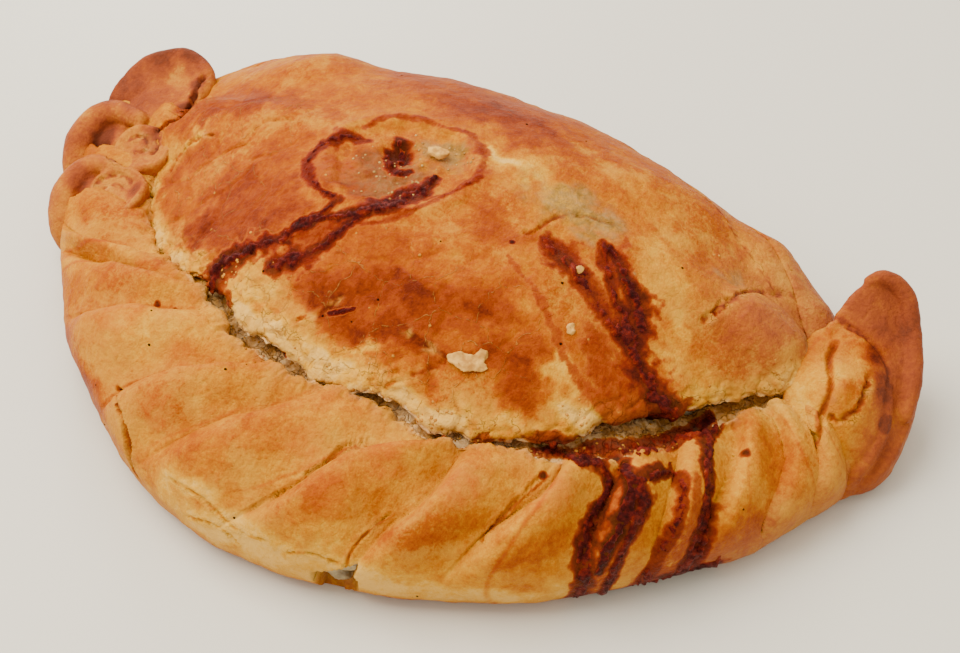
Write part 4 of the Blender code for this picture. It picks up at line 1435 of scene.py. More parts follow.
@dataclass
class Corners:
    """The flap and the two rolled folds at the left corner, and the curled fin at the right one."""

    crust: Crust
    voxel: float = 0.4
    left: tuple[Lobe | Limb, ...] = (
        Lobe(
            (
                (-90.4, 30, 12), (-91, 33.4, 17), (-89, 37.6, 21.2), (-85.4, 41.2, 24.4),
                (-81, 43.2, 26), (-77.2, 43.6, 26.6),
                (-72.4, 42, 25.8), (-70, 38, 24.4), (-71, 33.5, 23), (-74, 27.5, 21), (-81, 26.4, 18.4),
                (-87.5, 28, 14.8),
            ),
            (-80.5, 36, 21.2), 2.0, 1.7, 0.8,
        ),
        Limb(
            ((-88.4, 14, 5), (-91.1, 17.4, 10.2), (-92.1, 21, 13.4), (-90.9, 25, 16.4),
             (-87.6, 27.6, 18.2), (-83, 27.2, 19.3), (-78, 25.4, 20.2)),
            (3.7, 4.1, 3.9, 3.4, 2.9, 2.4, 1.7),
        ),
        Limb(
            ((-86, 13, 3), (-88.2, 18, 7), (-87.6, 23, 11), (-83.4, 23.4, 14.4), (-80, 19, 14.6)),
            (4.0, 4.2, 4.0, 3.6, 3.2),
        ),
        Lobe(
            (
                (-79.2, 14.4, 17.4), (-80.6, 17.6, 19), (-80.2, 20.8, 20.4), (-78.4, 22.8, 21.4),
                (-75.4, 23.2, 22), (-71.6, 22.2, 22.4),
                (-69, 18.6, 22.2), (-70, 15.6, 21), (-74, 13.8, 19.6), (-77.4, 13.2, 18),
            ),
            (-75.4, 18.4, 20.4), 13.0, 1.3, -0.9,
        ),
        Limb(
            ((-83.2, -1, 3), (-85.4, 1.8, 8.8), (-87.0, 5.6, 12.4), (-86.0, 9.4, 15.3),
             (-83.5, 11.8, 17.3), (-80, 12.2, 18.5), (-76, 11.6, 19.3)),
            (3.5, 3.9, 3.6, 3.2, 2.5, 1.8, 1.2),
        ),
        Limb(
            ((-81, -1, 3), (-84, 4, 7), (-83.2, 8, 11), (-80.2, 7.8, 13.8), (-79, 4.4, 13.4)),
            (4.0, 4.2, 4.0, 3.4, 3.0),
        ),
        Lobe(
            (
                (-78.4, 2.4, 16), (-79.8, 5.8, 17.4), (-79.6, 8.8, 18.8), (-77.6, 10.6, 19.8),
                (-74.4, 11.2, 20.6), (-71.6, 10.4, 21),
                (-69, 8, 21.2), (-68.8, 4.6, 20.6), (-70.4, 1.4, 19.2), (-73.6, -0.6, 17.2),
                (-76.8, -0.4, 15.8),
            ),
            (-75.6, 6, 19), 12.0, 1.3, -1.2,
        ),
    )
    right: tuple[Lobe | Limb, ...] = (
        Lobe(
            (
                (84.6, 2, 5), (89.4, 4.5, 6.5), (92.6, 9, 9), (93.4, 16, 12), (92.8, 23, 15.5),
                (90.6, 30, 19.5), (87.6, 34.4, 23.4),
                (84.4, 35.8, 26.4), (80.4, 34.4, 28.4), (77.6, 31, 27), (76, 27, 24.4), (75, 21, 22.5),
                (75.6, 13, 19),
                (77, 7, 14), (80, 3, 9),
            ),
            (84.5, 20, 19.4), 1.2, 1.6, 0.6,
        ),
        Lobe(
            (
                (72.6, 23, 21.4), (76.6, 25, 22.8), (80.6, 24.4, 22.8), (84.6, 22, 21.6), (88, 18, 19),
                (89.8, 12.6, 15.6), (89.4, 7, 12),
                (86.6, 2, 8.6), (81.6, -0.6, 8), (76.6, 1, 12), (73, 7, 18), (71.6, 15, 21),
            ),
            (81, 12, 20.6), 1.0, 1.7, 1.6,
        ),
        Lobe(
            (
                (79.4, 8.4, 20), (81.2, 7.2, 19.4), (83.4, 8.4, 19.4), (84.2, 11.4, 19.8),
                (83.8, 15, 20.6), (82.2, 16.8, 21.2),
                (80.4, 16, 21.4), (79.2, 12.4, 21),
            ),
            (81.6, 12, 21.6), 14.0, 0.7, 0.9, 80, 24,
        ),
        Limb(
            ((78.2, 33.4, 27.6), (81.6, 35.6, 28.4), (86.2, 35.4, 25.6), (90, 30.4, 20.4),
             (92.6, 23, 16.4), (93.4, 15, 12.6)),
            (0.9, 1.5, 1.8, 2.0, 2.0, 1.6),
        ),
    )

    def make(self) -> list[Piece]:
        """Builds the two corners with their fine form and marks."""
        made = []
        for name, shells in (("corner.left", self.left), ("corner.right", self.right)):
            points, faces = melted(name + "_rough", shells, self.voxel, 3)
            piece = new_piece(name, points, faces)
            smooth_points, normals = points_of(piece.data)
            moved = smooth_points + normals * (
                0.85 * self.crust.height(smooth_points, Part.CORNER)
            )[:, None]
            moved[:, 2] = np.maximum(moved[:, 2], 0.4)
            marks = self.crust.marks(smooth_points, Part.CORNER, np.zeros(len(moved)))
            mesh = piece.data
            bpy.data.objects.remove(piece)
            bpy.data.meshes.remove(mesh)
            made.append(new_piece(name, moved, faces, marks))
        return made


# --- gravy, filling and crumbs -----------------------------------------------------------------


@dataclass
class GravyLayer:
    """The baked-on gravy that stands on the crust: a closed skin that thins out at its edges."""

    crust: Crust
    thick: float = 0.5
    sunk: float = 0.4

    def make(self, name: str, skin: Skin, part: Part) -> Piece:
        """Lays the gravy on a piece of crust.

        Args:
            name: The new piece's name.
            skin: The crust's points and normals.
            part: Which part of the crust that is.

        Returns:
            The gravy.
        """
        rows, columns = skin.points.shape[:2]
        flat, up = skin.points.reshape(-1, 3), skin.normals.reshape(-1, 3)
        deep = self.crust.gravy(flat, part, self.crust.grain.rough(flat + 20, 2.4, 4))[1]
        grains = self.crust.grain.rough(flat + 50, 1.6, 3)
        swollen = self.sunk + self.thick * (0.6 + 1.1 * grains)
        tall = -self.sunk + swollen * smooth(deep + 0.3 * grains, 0.3, 0.75)
        faces = grid_faces(rows, columns, skin.closed)
        held = faces[(tall[faces] > -0.9 * self.sunk).any(axis=1)]
        used, number = np.unique(held, return_inverse=True)
        number = number.reshape(held.shape)
        top = flat[used] + up[used] * tall[used][:, None]
        under = flat[used] - up[used] * (self.sunk + 0.5)
        count = len(used)
        edges = np.stack([number, np.roll(number, -1, axis=1)], axis=-1).reshape(-1, 2)
        seen = {tuple(edge) for edge in edges.tolist()}
        walls = [[b, a, a + count, b + count] for a, b in seen if (b, a) not in seen]
        quads = number.tolist() + (number[:, ::-1] + count).tolist() + walls
        char = np.concatenate([deep[used], deep[used]])
        return new_piece(name, np.vstack([top, under]), quads, {"char": char})


@dataclass
class Stuffing:
    """The filling inside the crust, and the slices of potato and onion that the tear lays bare."""

    form: PastyForm
    grain: Grain
    angle: float = 275.0
    reach: float = 92.0
    slices: tuple[tuple[float, float, float, float], ...] = (
        (-1.6, 6.8, 1.0, 1.7), (1.8, 8.4, 0.8, 2.1), (4.0, 9.8, 0.4, 1.7), (0.6, 4.4, 0.3, 1.4),
    )

    def make(self, packed: Piece) -> Piece:
        """Builds the filling from the frame's own filling, roughened, with slices at the tear.

        Args:
            packed: The frame's filling.

        Returns:
            The filling.
        """
        points = np.array([v.co for v in packed.data.vertices]) / MM
        faces = [list(face.vertices) for face in packed.data.polygons]
        core = new_piece("filling_core", points, faces)
        joined = core.modifiers.new("even", "REMESH")
        joined.mode = "VOXEL"
        joined.voxel_size = 1.5 * MM
        even = bpy.data.meshes.new_from_object(core.evaluated_get(bpy.context.evaluated_depsgraph_get()))
        body, up = points_of(even)
        body = body - up * (2.6 + 0.4 * self.grain.rough(body, 7, 3))[:, None]
        rows = [list(face.vertices) for face in even.polygons]
        bpy.data.objects.remove(core)
        bpy.data.meshes.remove(even)
        turned = np.radians(self.angle)
        out = np.array([np.cos(turned), np.sin(turned)])
        side = np.array([-np.sin(turned), np.cos(turned)])
        centre = np.array(self.form.centre)
        slices = []
        for across, height, lean, thickness in self.slices:
            start = np.array([*(centre + out * (self.reach - 7) + side * (across - 1)), height])
            end = np.array([*(centre + out * (self.reach - 0.6) + side * across), height - lean])
            path = (tuple(start), tuple((start + end) / 2), tuple(end))
            slices.append(Limb(path, (thickness, thickness, thickness * 0.9), 1.7))
        chunk, chunk_rows = melted("slices", slices, 0.35, 2)
        chunk = chunk + 0.25 * self.grain.rough(chunk, 2, 3)[:, None]
        rows += [[k + len(body) for k in row] for row in chunk_rows]
        return new_piece("stuffing", np.vstack([body, chunk]), rows)


@dataclass
class LooseFlakes:
    """Single flakes and crumbs of crust that lie on the pasty."""

    form: PastyForm
    flakes: tuple[tuple[tuple[float, float], ...], ...] = (
        (
            (14, -21.6), (16, -20.6), (18.4, -20.2), (19.4, -18.6), (20.8, -18.8), (20.6, -20.4),
            (21.6, -21.4), (20, -22.8), (17.4, -23.2), (15.6, -22.6),
        ),
        ((29.3, 4.2), (29.8, 4.9), (30.4, 4.4), (30.1, 3.6), (29.4, 3.6)),
        ((32.4, -7.6), (33.2, -7.1), (33.8, -8), (33.3, -9), (32.6, -8.7)),
        ((-8, 19), (-6, 19.8), (-4, 19), (-4.6, 17.8), (-6.8, 17.6)),
        ((62, 30.6), (64.4, 29.8), (65.4, 28.2), (63.4, 28.4)),
    )

    def make(self) -> Piece:
        """Builds the flakes as one piece."""
        shells = []
        for outline in self.flakes:
            rim = self.form.on_dome(outline)
            middle = rim.mean(axis=0)
            rim[:, 2] += 0.5
            peak = (middle[0], middle[1], middle[2] + 0.2)
            shells.append(Lobe(tuple(map(tuple, rim)), peak, middle[2] - 0.6, 0.3, 0.35, 40, 12))
        points, faces = melted("loose", shells, 0.25, 2)
        grain = Grain(8)
        return new_piece("flakes.loose", points + 0.3 * grain.rough(points, 1.4, 3)[:, None], faces)


@dataclass
class Scatter:
    """Something small that is strewn over a piece of crust by a node tree."""

    name: str
    amount: float
    size: tuple[float, float]
    seed: int
    flatness: float = 0.35

    def _grain(self) -> Piece:
        """One uneven crumb, a millimetre across."""
        golden = (1 + 5**0.5) / 2
        corners = [
            (-1, golden, 0), (1, golden, 0), (-1, -golden, 0), (1, -golden, 0), (0, -1, golden),
            (0, 1, golden),
        ]
        corners += [
            (0, -1, -golden), (0, 1, -golden), (golden, 0, -1), (golden, 0, 1), (-golden, 0, -1),
            (-golden, 0, 1),
        ]
        faces = [
            (0, 11, 5), (0, 5, 1), (0, 1, 7), (0, 7, 10), (0, 10, 11), (1, 5, 9), (5, 11, 4),
            (11, 10, 2), (10, 7, 6), (7, 1, 8),
        ]
        faces += [
            (3, 9, 4), (3, 4, 2), (3, 2, 6), (3, 6, 8), (3, 8, 9), (4, 9, 5), (2, 4, 11), (6, 2, 10),
            (8, 6, 7), (9, 8, 1),
        ]
        draw = np.random.default_rng(self.seed)
        points = np.array(corners) / np.linalg.norm(corners[0]) * 0.5
        points = points * (0.75 + 0.5 * draw.random((12, 1))) * (1, 1, self.flatness)
        return new_piece(self.name + "_one", points, faces)

    def make(self, host: Piece, weights: Values, finish: bpy.types.Material) -> Piece:
        """Strews the crumbs.

        Args:
            host: The crust that they lie on.
            weights: How thickly they lie at each of its points, from 0 to 1.
            finish: Their finish.

        Returns:
            The crumbs, as one mesh.
        """
        one = self._grain()
        ground = bpy.data.objects.new(self.name, host.data.copy())
        bpy.context.scene.collection.objects.link(ground)
        layer = ground.data.attributes.new("strewn", "FLOAT", "POINT")
        layer.data.foreach_set("value", np.asarray(weights, np.float32))
        tree = bpy.data.node_groups.new(self.name, "GeometryNodeTree")
        face = tree.interface
        face.new_socket("Geometry", in_out="OUTPUT", socket_type="NodeSocketGeometry")
        face.new_socket("Geometry", in_out="INPUT", socket_type="NodeSocketGeometry")
        wanted = {
            "Amount": ("NodeSocketFloat", self.amount / MM**2),
            "Smallest": ("NodeSocketFloat", self.size[0]),
            "Largest": ("NodeSocketFloat", self.size[1]),
            "Seed": ("NodeSocketInt", self.seed),
            "Crumb": ("NodeSocketObject", one),
            "Finish": ("NodeSocketMaterial", finish),
        }
        keys = {
            name: face.new_socket(name, in_out="INPUT", socket_type=kind).identifier
            for name, (kind, _) in wanted.items()
        }
        inner = node(tree, "NodeGroupInput").outputs
        where = node(
            tree, "GeometryNodeInputNamedAttribute", {"data_type": "FLOAT"}, Name="strewn"
        ).outputs["Attribute"]
        thick = node(
            tree, "ShaderNodeMath", {"operation": "MULTIPLY"}, i0=where, i1=inner["Amount"]
        ).outputs[0]
        spread = node(
            tree, "GeometryNodeDistributePointsOnFaces", {"distribute_method": "RANDOM"},
            Mesh=inner["Geometry"], Density=thick, Seed=inner["Seed"],
        )
        spin = node(
            tree, "FunctionNodeRandomValue", {"data_type": "FLOAT"}, i2=0.0, i3=6.283, Seed=inner["Seed"]
        ).outputs[1]
        turn = node(tree, "ShaderNodeCombineXYZ", None, Z=spin).outputs[0]
        turned = node(
            tree, "FunctionNodeRotateRotation", {"rotation_space": "LOCAL"},
            i0=spread.outputs["Rotation"], i1=turn,
        ).outputs[0]
        big = node(
            tree, "FunctionNodeRandomValue", {"data_type": "FLOAT"},
            i2=inner["Smallest"], i3=inner["Largest"], Seed=inner["Seed"],
        ).outputs[1]
        shape = node(tree, "GeometryNodeObjectInfo", None, Object=inner["Crumb"]).outputs["Geometry"]
        laid = node(
            tree, "GeometryNodeInstanceOnPoints", None,
            Points=spread.outputs["Points"], Instance=shape, Rotation=turned, Scale=big,
        ).outputs[0]
        real = node(tree, "GeometryNodeRealizeInstances", None, Geometry=laid).outputs[0]
        done = node(
            tree, "GeometryNodeSetMaterial", None, Geometry=real, Material=inner["Finish"]
        ).outputs[0]
        node(tree, "NodeGroupOutput", None, Geometry=done)
        modifier = ground.modifiers.new(self.name, "NODES")
        modifier.node_group = tree
        for name, (_, value) in wanted.items():
            modifier[keys[name]] = value
        mesh = bpy.data.meshes.new_from_object(ground.evaluated_get(bpy.context.evaluated_depsgraph_get()))
        mesh.name = self.name
        ground.modifiers.remove(modifier)
        old = ground.data
        ground.data = mesh
        bpy.data.meshes.remove(old)
        worn = one.data
        bpy.data.objects.remove(one)
        bpy.data.meshes.remove(worn)
        return ground


# --- finishes ----------------------------------------------------------------------------------


def node(tree: bpy.types.NodeTree, kind: str, settings: dict | None = None, **links) -> bpy.types.Node:
    """Adds a node with its settings, and with values or links for its inputs.

    Args:
        tree: The tree that the node goes in.
        kind: The node's type.
        settings: The node's own properties.
        **links: Input names, with underscores for spaces, or i0, i1 and so on for a numbered input;
            each has a constant or another node's output.

    Returns:
        The new node.
    """
    made = tree.nodes.new(kind)
    for name, value in (settings or {}).items():
        setattr(made, name, value)
    for name, value in links.items():
        numbered = name[0] == "i" and name[1:].isdigit()
        socket = made.inputs[int(name[1:]) if numbered else name.replace("_", " ")]
        if isinstance(value, Socket):
            tree.links.new(value, socket)
        else:
            socket.default_value = value
    return made


class Mix(Enum):
    """How two colours are mixed."""

    OVER = "MIX"
    DARKEN = "MULTIPLY"


@dataclass
class FinishTree:
    """A new material's node tree, with short ways to add the nodes that every finish needs."""

    name: str
    slot: str

    def __post_init__(self) -> None:
        """Makes the material and its shader."""
        self.material = bpy.data.materials.new(self.name)
        self.material.use_nodes = True
        self.tree = self.material.node_tree
        self.tree.nodes.clear()
        self.place = node(self.tree, "ShaderNodeTexCoord").outputs["Object"]

    def mark(self, name: str) -> Socket:
        """A mark stored on the mesh."""
        return node(self.tree, "ShaderNodeAttribute", {"attribute_name": name}).outputs["Fac"]

    def noise(self, size: float, detail: float = 4.0, roughness: float = 0.55, warp: float = 0.0) -> Socket:
        """Noise whose largest features are size millimetres across."""
        made = node(
            self.tree, "ShaderNodeTexNoise", None,
            Vector=self.place, Scale=1 / (size * MM), Detail=detail, Roughness=roughness, Distortion=warp,
        )
        return made.outputs["Fac"]

    def edges(self, size: float, warp: float) -> Socket:
        """The distance to the borders of warped cells that are size millimetres across."""
        bend = node(
            self.tree, "ShaderNodeTexNoise", None, Vector=self.place, Scale=1 / (size * 0.8 * MM), Detail=3.0
        ).outputs["Color"]
        shifted = node(
            self.tree, "ShaderNodeMixRGB", {"blend_type": "LINEAR_LIGHT"},
            Fac=warp * size * MM, Color1=self.place, Color2=bend,
        ).outputs["Color"]
        made = node(
            self.tree, "ShaderNodeTexVoronoi", {"feature": "DISTANCE_TO_EDGE"},
            Vector=shifted, Scale=1 / (size * MM),
        )
        return made.outputs["Distance"]

    def sum(self, kind: str, a: object, b: object, clamp: bool = False) -> Socket:
        """Two values put through one kind of sum."""
        return node(
            self.tree, "ShaderNodeMath", {"operation": kind, "use_clamp": clamp}, i0=a, i1=b
        ).outputs[0]

    def step(self, value: Socket, low: float, high: float, start: float = 0.0, end: float = 1.0) -> Socket:
        """A soft step from start to end as the value goes from low to high."""
        made = node(
            self.tree, "ShaderNodeMapRange", {"interpolation_type": "SMOOTHSTEP"},
            Value=value, From_Min=low, From_Max=high, To_Min=start, To_Max=end,
        )
        return made.outputs["Result"]

    def ramp(self, value: Socket, stops: Sequence[tuple[float, str]]) -> Socket:
        """A colour from hex stops."""
        made = node(self.tree, "ShaderNodeValToRGB", None, Fac=value)
        band = made.color_ramp
        while len(band.elements) < len(stops):
            band.elements.new(1.0)
        for element, (place, code) in zip(band.elements, stops):
            element.position = place
            element.color = linear(code)
        return made.outputs["Color"]

    def over(self, amount: object, under: object, over: object, mix: Mix = Mix.OVER) -> Socket:
        """One colour laid over another."""
        made = node(
            self.tree, "ShaderNodeMixRGB", {"blend_type": mix.value}, Fac=amount, Color1=under,
            Color2=over,
        )
        return made.outputs["Color"]

    def finish(
        self, colour: object, roughness: object, height: object, depth: float, **extra
    ) -> bpy.types.Material:
        """Adds the shader and the output.

        Args:
            colour: The base colour.
            roughness: The roughness.
            height: The height for the fine relief, or None.
            depth: How deep that relief is, in millimetres for a height of one.
            **extra: More of the shader's inputs.

        Returns:
            The material.
        """
        shader = node(
            self.tree, "ShaderNodeBsdfPrincipled", None, Base_Color=colour, Roughness=roughness, **extra
        )
        if height is not None:
            bump = node(self.tree, "ShaderNodeBump", None, Strength=1.0, Distance=depth * MM, Height=height)
            self.tree.links.new(bump.outputs["Normal"], shader.inputs["Normal"])
        end = node(self.tree, "ShaderNodeOutputMaterial")
        self.tree.links.new(shader.outputs["BSDF"], end.inputs["Surface"])
        return self.material


GRAVY_STOPS = ((0.12, "AC601C"), (0.32, "903E12"), (0.52, "701E10"), (0.76, "400E0E"), (1.0, "160708"))


@dataclass(frozen=True)
class BakedPastry:
    """Shortcrust pastry washed with egg and baked: pale dough to golden to red-brown."""

    stops: tuple[tuple[float, str], ...] = (
        (0.0, "D6A650"), (0.16, "CC9428"), (0.3, "BE7C14"), (0.42, "AE650A"), (0.55, "9E4E0A"),
        (0.68, "8C3C0E"),
        (0.82, "7A2E10"), (1.0, "5A1E0E"),
    )
    dough: tuple[tuple[float, str], ...] = ((0.0, "C07C1C"), (0.5, "D2942A"), (1.0, "E2AC4C"))
    torn: tuple[tuple[float, str], ...] = ((0.0, "8A5A2A"), (0.45, "BC8C52"), (1.0, "DCB680"))
    mush: tuple[tuple[float, str], ...] = ((0.0, "664E26"), (0.5, "84683A"), (1.0, "9C7C4A"))
    # The pink-grey colour of the painted sheen.
    painted_sheen_colour: str = "9E6F55"
    red: str = "B04A12"
    sallow: str = "B8842C"

    def make(self) -> bpy.types.Material:
        """Builds the finish from the crust's marks."""
        t = FinishTree("baked_pastry", "baked_pastry")
        broad, mottle = t.noise(9, 5, 0.6, 0.4), t.noise(3.0, 6, 0.62, 0.5)
        fine, dust = t.noise(0.9, 4, 0.6), t.noise(0.35, 2, 0.5)
        bake = t.mark("bake")
        for grain, share in ((broad, 0.38), (mottle, 0.42), (fine, 0.34), (dust, 0.2)):
            bake = t.sum("ADD", bake, t.sum("MULTIPLY", t.sum("SUBTRACT", grain, 0.5), share))
        colour = t.ramp(bake, self.stops)
        sallow = t.step(t.noise(13, 3, 0.55, 0.3), 0.44, 0.62, 0.0, 0.36)
        sallow = t.sum("MULTIPLY", sallow, t.step(bake, 0.4, 0.56, 1.0, 0.0))
        colour = t.over(sallow, colour, linear(self.sallow))
        # This mark is the folds' red blush together with painted crease shade along their grooves.
        flush_and_crease_shade = t.sum("MULTIPLY", t.mark("flush_and_crease_shade"), t.step(mottle, 0.3, 0.65, 0.5, 1.0))
        colour = t.over(t.sum("MULTIPLY", flush_and_crease_shade, 0.5), colour, linear(self.red))
        pale = t.sum("MULTIPLY", t.mark("pale"), t.step(fine, 0.3, 0.6, 0.45, 1.0))
        colour = t.over(pale, colour, t.ramp(t.step(mottle, 0.34, 0.64), self.dough))
        torn = t.sum("MULTIPLY", t.mark("torn"), t.step(fine, 0.3, 0.55, 0.6, 1.0))
        colour = t.over(torn, colour, t.ramp(t.step(mottle, 0.34, 0.64), self.torn))
        mush = t.sum("MULTIPLY", t.mark("mush"), t.step(fine, 0.3, 0.6, 0.55, 1.0))
        colour = t.over(mush, colour, t.ramp(t.step(mottle, 0.34, 0.64), self.mush))
        # Painted sheen: a pink-grey tint standing in for cool light reflected at grazing angles and for
        # shade on low sides.
        colour = t.over(t.mark("painted_sheen"), colour, linear(self.painted_sheen_colour))
        # Painted shade in a band beside each flake's edge, and a painted highlight along the edge itself.
        plate = t.edges(10, 0.5)
        lines = t.sum("MULTIPLY", t.mark("flaky"), t.step(fine, 0.42, 0.56))
        shade = t.sum("MULTIPLY", t.step(plate, 0.012, 0.04, 0.3, 0.0), lines)
        colour = t.over(shade, colour, linear("7A3A10"))
        ridge = t.sum("MULTIPLY", t.step(plate, 0.003, 0.014, 0.4, 0.0), lines)
        colour = t.over(ridge, colour, linear("C88A3C"))
        hair = t.step(t.edges(3.6, 0.7), 0.0, 0.035, 1.0, 0.0)
        cracked = t.sum("MULTIPLY", hair, t.sum("MULTIPLY", t.mark("pale"), 0.9))
        colour = t.over(cracked, colour, linear("7A4A1C"))
        patchy = t.sum("MULTIPLY", t.sum("SUBTRACT", mottle, 0.5), 0.42)
        patchy = t.sum("ADD", patchy, t.sum("MULTIPLY", t.sum("SUBTRACT", fine, 0.5), 0.36))
        soak = t.sum("ADD", t.mark("stain"), t.sum("MULTIPLY", patchy, t.step(t.mark("stain"), 0.02, 0.25)))
        wet = t.step(soak, 0.1, 0.3, 0.0, 0.94)
        colour = t.over(wet, colour, t.ramp(soak, GRAVY_STOPS))
        roughness = t.step(bake, 0.2, 0.8, 0.55, 0.42)
        roughness = t.sum("ADD", roughness, t.sum("MULTIPLY", t.mark("pale"), 0.3))
        roughness = t.sum("SUBTRACT", roughness, t.sum("MULTIPLY", wet, 0.1), True)
        relief = t.sum("ADD", t.sum("MULTIPLY", mottle, 0.6), t.sum("MULTIPLY", fine, 0.5))
        relief = t.sum("SUBTRACT", relief, t.sum("MULTIPLY", cracked, 0.8))
        relief = t.sum("ADD", relief, t.sum("MULTIPLY", ridge, 0.6))
        return t.finish(
            colour, roughness, relief, 0.7, Specular_IOR_Level=0.07, Specular_Tint=linear("F0A060")
        )


@dataclass(frozen=True)
class BakedGravy:
    """Beef gravy that boiled out and baked on: red-brown glaze with grains of char."""

    def make(self) -> bpy.types.Material:
        """Builds the finish."""
        t = FinishTree("gravy", "gravy")
        grain, broad = t.noise(0.9, 4, 0.6), t.noise(3.0, 3, 0.5)
        patchy = t.sum("MULTIPLY", t.sum("SUBTRACT", broad, 0.5), 0.6)
        patchy = t.sum("ADD", patchy, t.sum("MULTIPLY", t.sum("SUBTRACT", grain, 0.5), 0.8))
        soak = t.sum("ADD", t.sum("ADD", t.sum("MULTIPLY", t.mark("char"), 0.5), 0.34), patchy)
        return t.finish(
            t.ramp(soak, GRAVY_STOPS), t.step(grain, 0.35, 0.65, 0.34, 0.66), grain, 0.5,
            Specular_IOR_Level=0.25, Specular_Tint=linear("E08060"),
        )


@dataclass(frozen=True)
class PotatoAndBeef:
    """Steamed potato, onion and beef, grey and translucent where the pastry tore."""

    pale: str = "C2AE80"
    grey: str = "857250"

    def make(self) -> bpy.types.Material:
        """Builds the finish."""
        t = FinishTree("potato_and_beef", "potato_and_beef")
        streak = t.noise(2.2, 4, 0.55, 0.8)
        colour = t.ramp(streak, ((0.35, self.grey), (0.65, self.pale)))
        return t.finish(
            colour, 0.32, t.noise(1.0), 0.3,
            Subsurface_Weight=0.35, Subsurface_Radius=(1.0, 0.9, 0.7), Subsurface_Scale=0.002,
        )


@dataclass(frozen=True)
class Crumb:
    """Loose bits of crust, pale or burnt."""

    name: str
    colour: str

    def make(self) -> bpy.types.Material:
        """Builds the finish."""
        t = FinishTree(self.name, "baked_pastry")
        shade = t.noise(1.5, 2)
        colour = t.over(
            t.step(shade, 0.3, 0.7, 0.6, 0.0), linear(self.colour), linear("8A4F1E"), Mix.DARKEN
        )
        return t.finish(colour, 0.6, None, 0.0, Specular_IOR_Level=0.08, Specular_Tint=linear("F0A060"))


@dataclass(frozen=True)
class Glaze:
    """The table: a pale glazed plate with no pattern."""

    colour: str = "D8D2C4"

    def make(self) -> bpy.types.Material:
        """Builds the finish."""
        t = FinishTree("plain_plate", "")
        return t.finish(linear(self.colour), 0.35, None, 0.0, Specular_IOR_Level=0.3)


# --- the studio --------------------------------------------------------------------------------


@dataclass
class Studio:
    """A plain pale floor, a soft window light from behind the left side, and the camera."""

    azimuth: float = 23.5
    elevation: float = 47.0
    distance: float = 430.6
    aim: tuple[float, float, float] = (9.4, 4.1, 14.7)
    lens: float = 81.0
    floor_size: float = 3000.0

    def floor(self) -> Piece:
        """The floor that the pasty stands on."""
        half = self.floor_size / 2
        corners = np.array([(-half, -half, 0), (half, -half, 0), (half, half, 0), (-half, half, 0)], float)
        made = new_piece("floor", corners - (0, 0, 0.02), [[0, 1, 2, 3]])
        made.data.materials.append(Glaze().make())
        return made

    def light(
        self, name: str, place: tuple[float, float, float], size: float, power: float,
        colour: str, shine: bool,
    ) -> None:
        """A soft square light that faces the pasty.

        Args:
            name: The light's name.
            place: Where it stands, in millimetres.
            size: Its side in millimetres.
            power: Its power in watts.
            colour: Its colour.
            shine: Whether the crust reflects it.
        """
        data = bpy.data.lights.new(name, "AREA")
        data.size = size * MM
        data.energy = power
        data.color = linear(colour)[:3]
        lamp = bpy.data.objects.new(name, data)
        bpy.context.scene.collection.objects.link(lamp)
        lamp.location = Vector(place) * MM
        lamp.rotation_euler = (Vector((0, 0, 15)) * MM - lamp.location).to_track_quat("-Z", "Y").to_euler()
        lamp.visible_glossy = shine

    def sky(self, strength: float, colour: str) -> None:
        """Even light from all round."""
        world = bpy.data.worlds.new("soft_room")
        world.use_nodes = True
        background = world.node_tree.nodes["Background"]
        background.inputs["Color"].default_value = linear(colour)
        background.inputs["Strength"].default_value = strength
        bpy.context.scene.world = world

    def camera(self) -> None:
        """The camera, looking down on the crimped side."""
        data = bpy.data.cameras.new("camera")
        data.lens = self.lens
        data.sensor_width = 36.0
        data.clip_end = 20.0
        made = bpy.data.objects.new("camera", data)
        bpy.context.scene.collection.objects.link(made)
        azimuth, elevation = np.radians(self.azimuth), np.radians(self.elevation)
        level = np.cos(elevation)
        away = np.array([level * np.sin(azimuth), -level * np.cos(azimuth), np.sin(elevation)])
        place = Vector(np.array(self.aim) + self.distance * away)
        made.location = place * MM
        made.rotation_euler = (Vector(self.aim) - place).to_track_quat("-Z", "Y").to_euler()
        bpy.context.scene.camera = made


def dress(piece: Piece, finish: bpy.types.Material) -> None:
    """Gives a finished piece its finish, and makes it part of the pasty.

    Args:
        piece: The piece.
        finish: Its finish.
    """
    if not piece.data.materials:
        piece.data.materials.append(finish)
    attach(piece, BODY)
    report(piece)


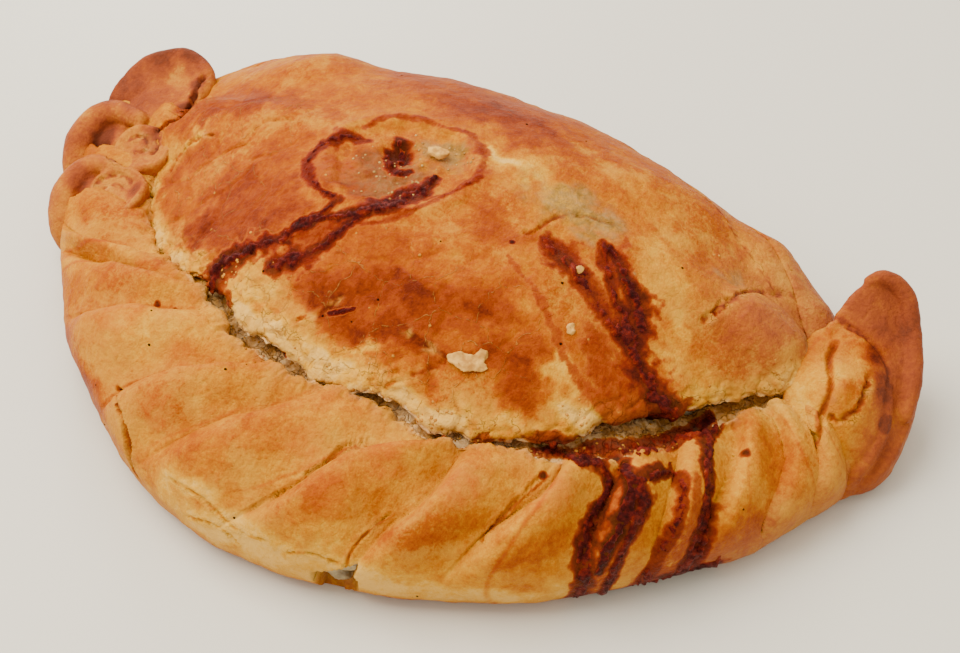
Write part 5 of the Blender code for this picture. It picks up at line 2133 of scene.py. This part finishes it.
def strew(crust: Crust, dome: Piece, crimp: Piece) -> None:
    """Strews flakes and crumbs over the crust.

    Args:
        crust: How the crust is baked.
        dome: The dome.
        crimp: The crimp.
    """
    pale, dark = Crumb("flake_crust", "C08434").make(), Crumb("burnt_crumb", "2A120A").make()
    dress(LooseFlakes(crust.form).make(), Crumb("flake_cream", "D9A552").make())
    points = points_of(dome.data)[0]
    above = smooth(points[:, 2], 12, 20)
    lip = crust.near_lip(points) * above
    clumps = smooth(crust.grain.rough(points, 9, 3), 0.0, 0.6)
    flaked = above * (0.9 * lip + 0.1 * crust.flaky(points)) * clumps
    flakes = Scatter("flakes", 0.5, (0.3, 0.85), 3, 0.25).make(dome, flaked, pale)
    mush = np.max([spot.weight(points, 0.0) for spot in crust.mushy[:2]], axis=0) * above
    mushy = Scatter("mush", 0.5, (0.3, 0.8), 21, 0.5).make(dome, mush, Crumb("mush", "B48C50").make())
    specks = Scatter("specks", 0.0015, (0.25, 0.6), 5, 0.7).make(dome, above, dark)
    points = points_of(crimp.data)[0]
    degrees, radius = crust.form.polar(points)
    seam = (1 - smooth(radius - crust.crevice.crimp_edge(degrees), 0.0, 1.5)) * smooth(degrees, 222, 235)
    seam = seam * smooth(points[:, 2], 12, 16)
    seam_flakes = Scatter("seam_flakes", 0.18, (0.3, 0.8), 9).make(crimp, seam, pale)
    sides = smooth(points[:, 2], 4, 8)
    side_specks = Scatter("side_specks", 0.0018, (0.25, 0.7), 11, 0.7).make(crimp, sides, dark)
    for piece in (flakes, mushy, specks, seam_flakes, side_specks):
        dress(piece, pale)


def main() -> None:
    """Builds the pasty's looks and the studio, piece by piece."""
    logging.basicConfig(level=logging.INFO, format="%(name)s %(message)s")
    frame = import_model()
    low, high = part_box("crust")
    middle = (low + high) / 2 / MM
    form = PastyForm(centre=(round(middle.x, 2) - 1.4, round(middle.y, 2) + 35.0))
    crust = Crust(form, Crevice(), CrimpRelief())
    pastry = BakedPastry().make()
    dome, dome_skin = Dome(form, crust).make()
    crimp, crimp_skin = Crimp(form, crust).make()
    for piece in (dome, crimp):
        dress(piece, pastry)
    corners = Corners(crust).make()
    for piece in corners:
        dress(piece, pastry)
    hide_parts("crust")
    layer = GravyLayer(crust)
    gravy = BakedGravy().make()
    dress(layer.make("gravy.dome", dome_skin, Part.DOME), gravy)
    dress(layer.make("gravy.crimp", crimp_skin, Part.CRIMP), gravy)
    stuffing = Stuffing(form, crust.grain).make(frame["nodes"]["filling"])
    dress(stuffing, PotatoAndBeef().make())
    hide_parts("filling")
    strew(crust, dome, crimp)
    studio = Studio()
    studio.floor()
    studio.light("window", (-420, -60, 760), 800, 15.6, "FFFBF2", False)
    studio.light("sheen", (-420, 640, 420), 260, 2.2, "FFFFFF", True)
    studio.sky(1.26, "FFF9EC")
    studio.camera()


if __name__ == "__main__":
    main()
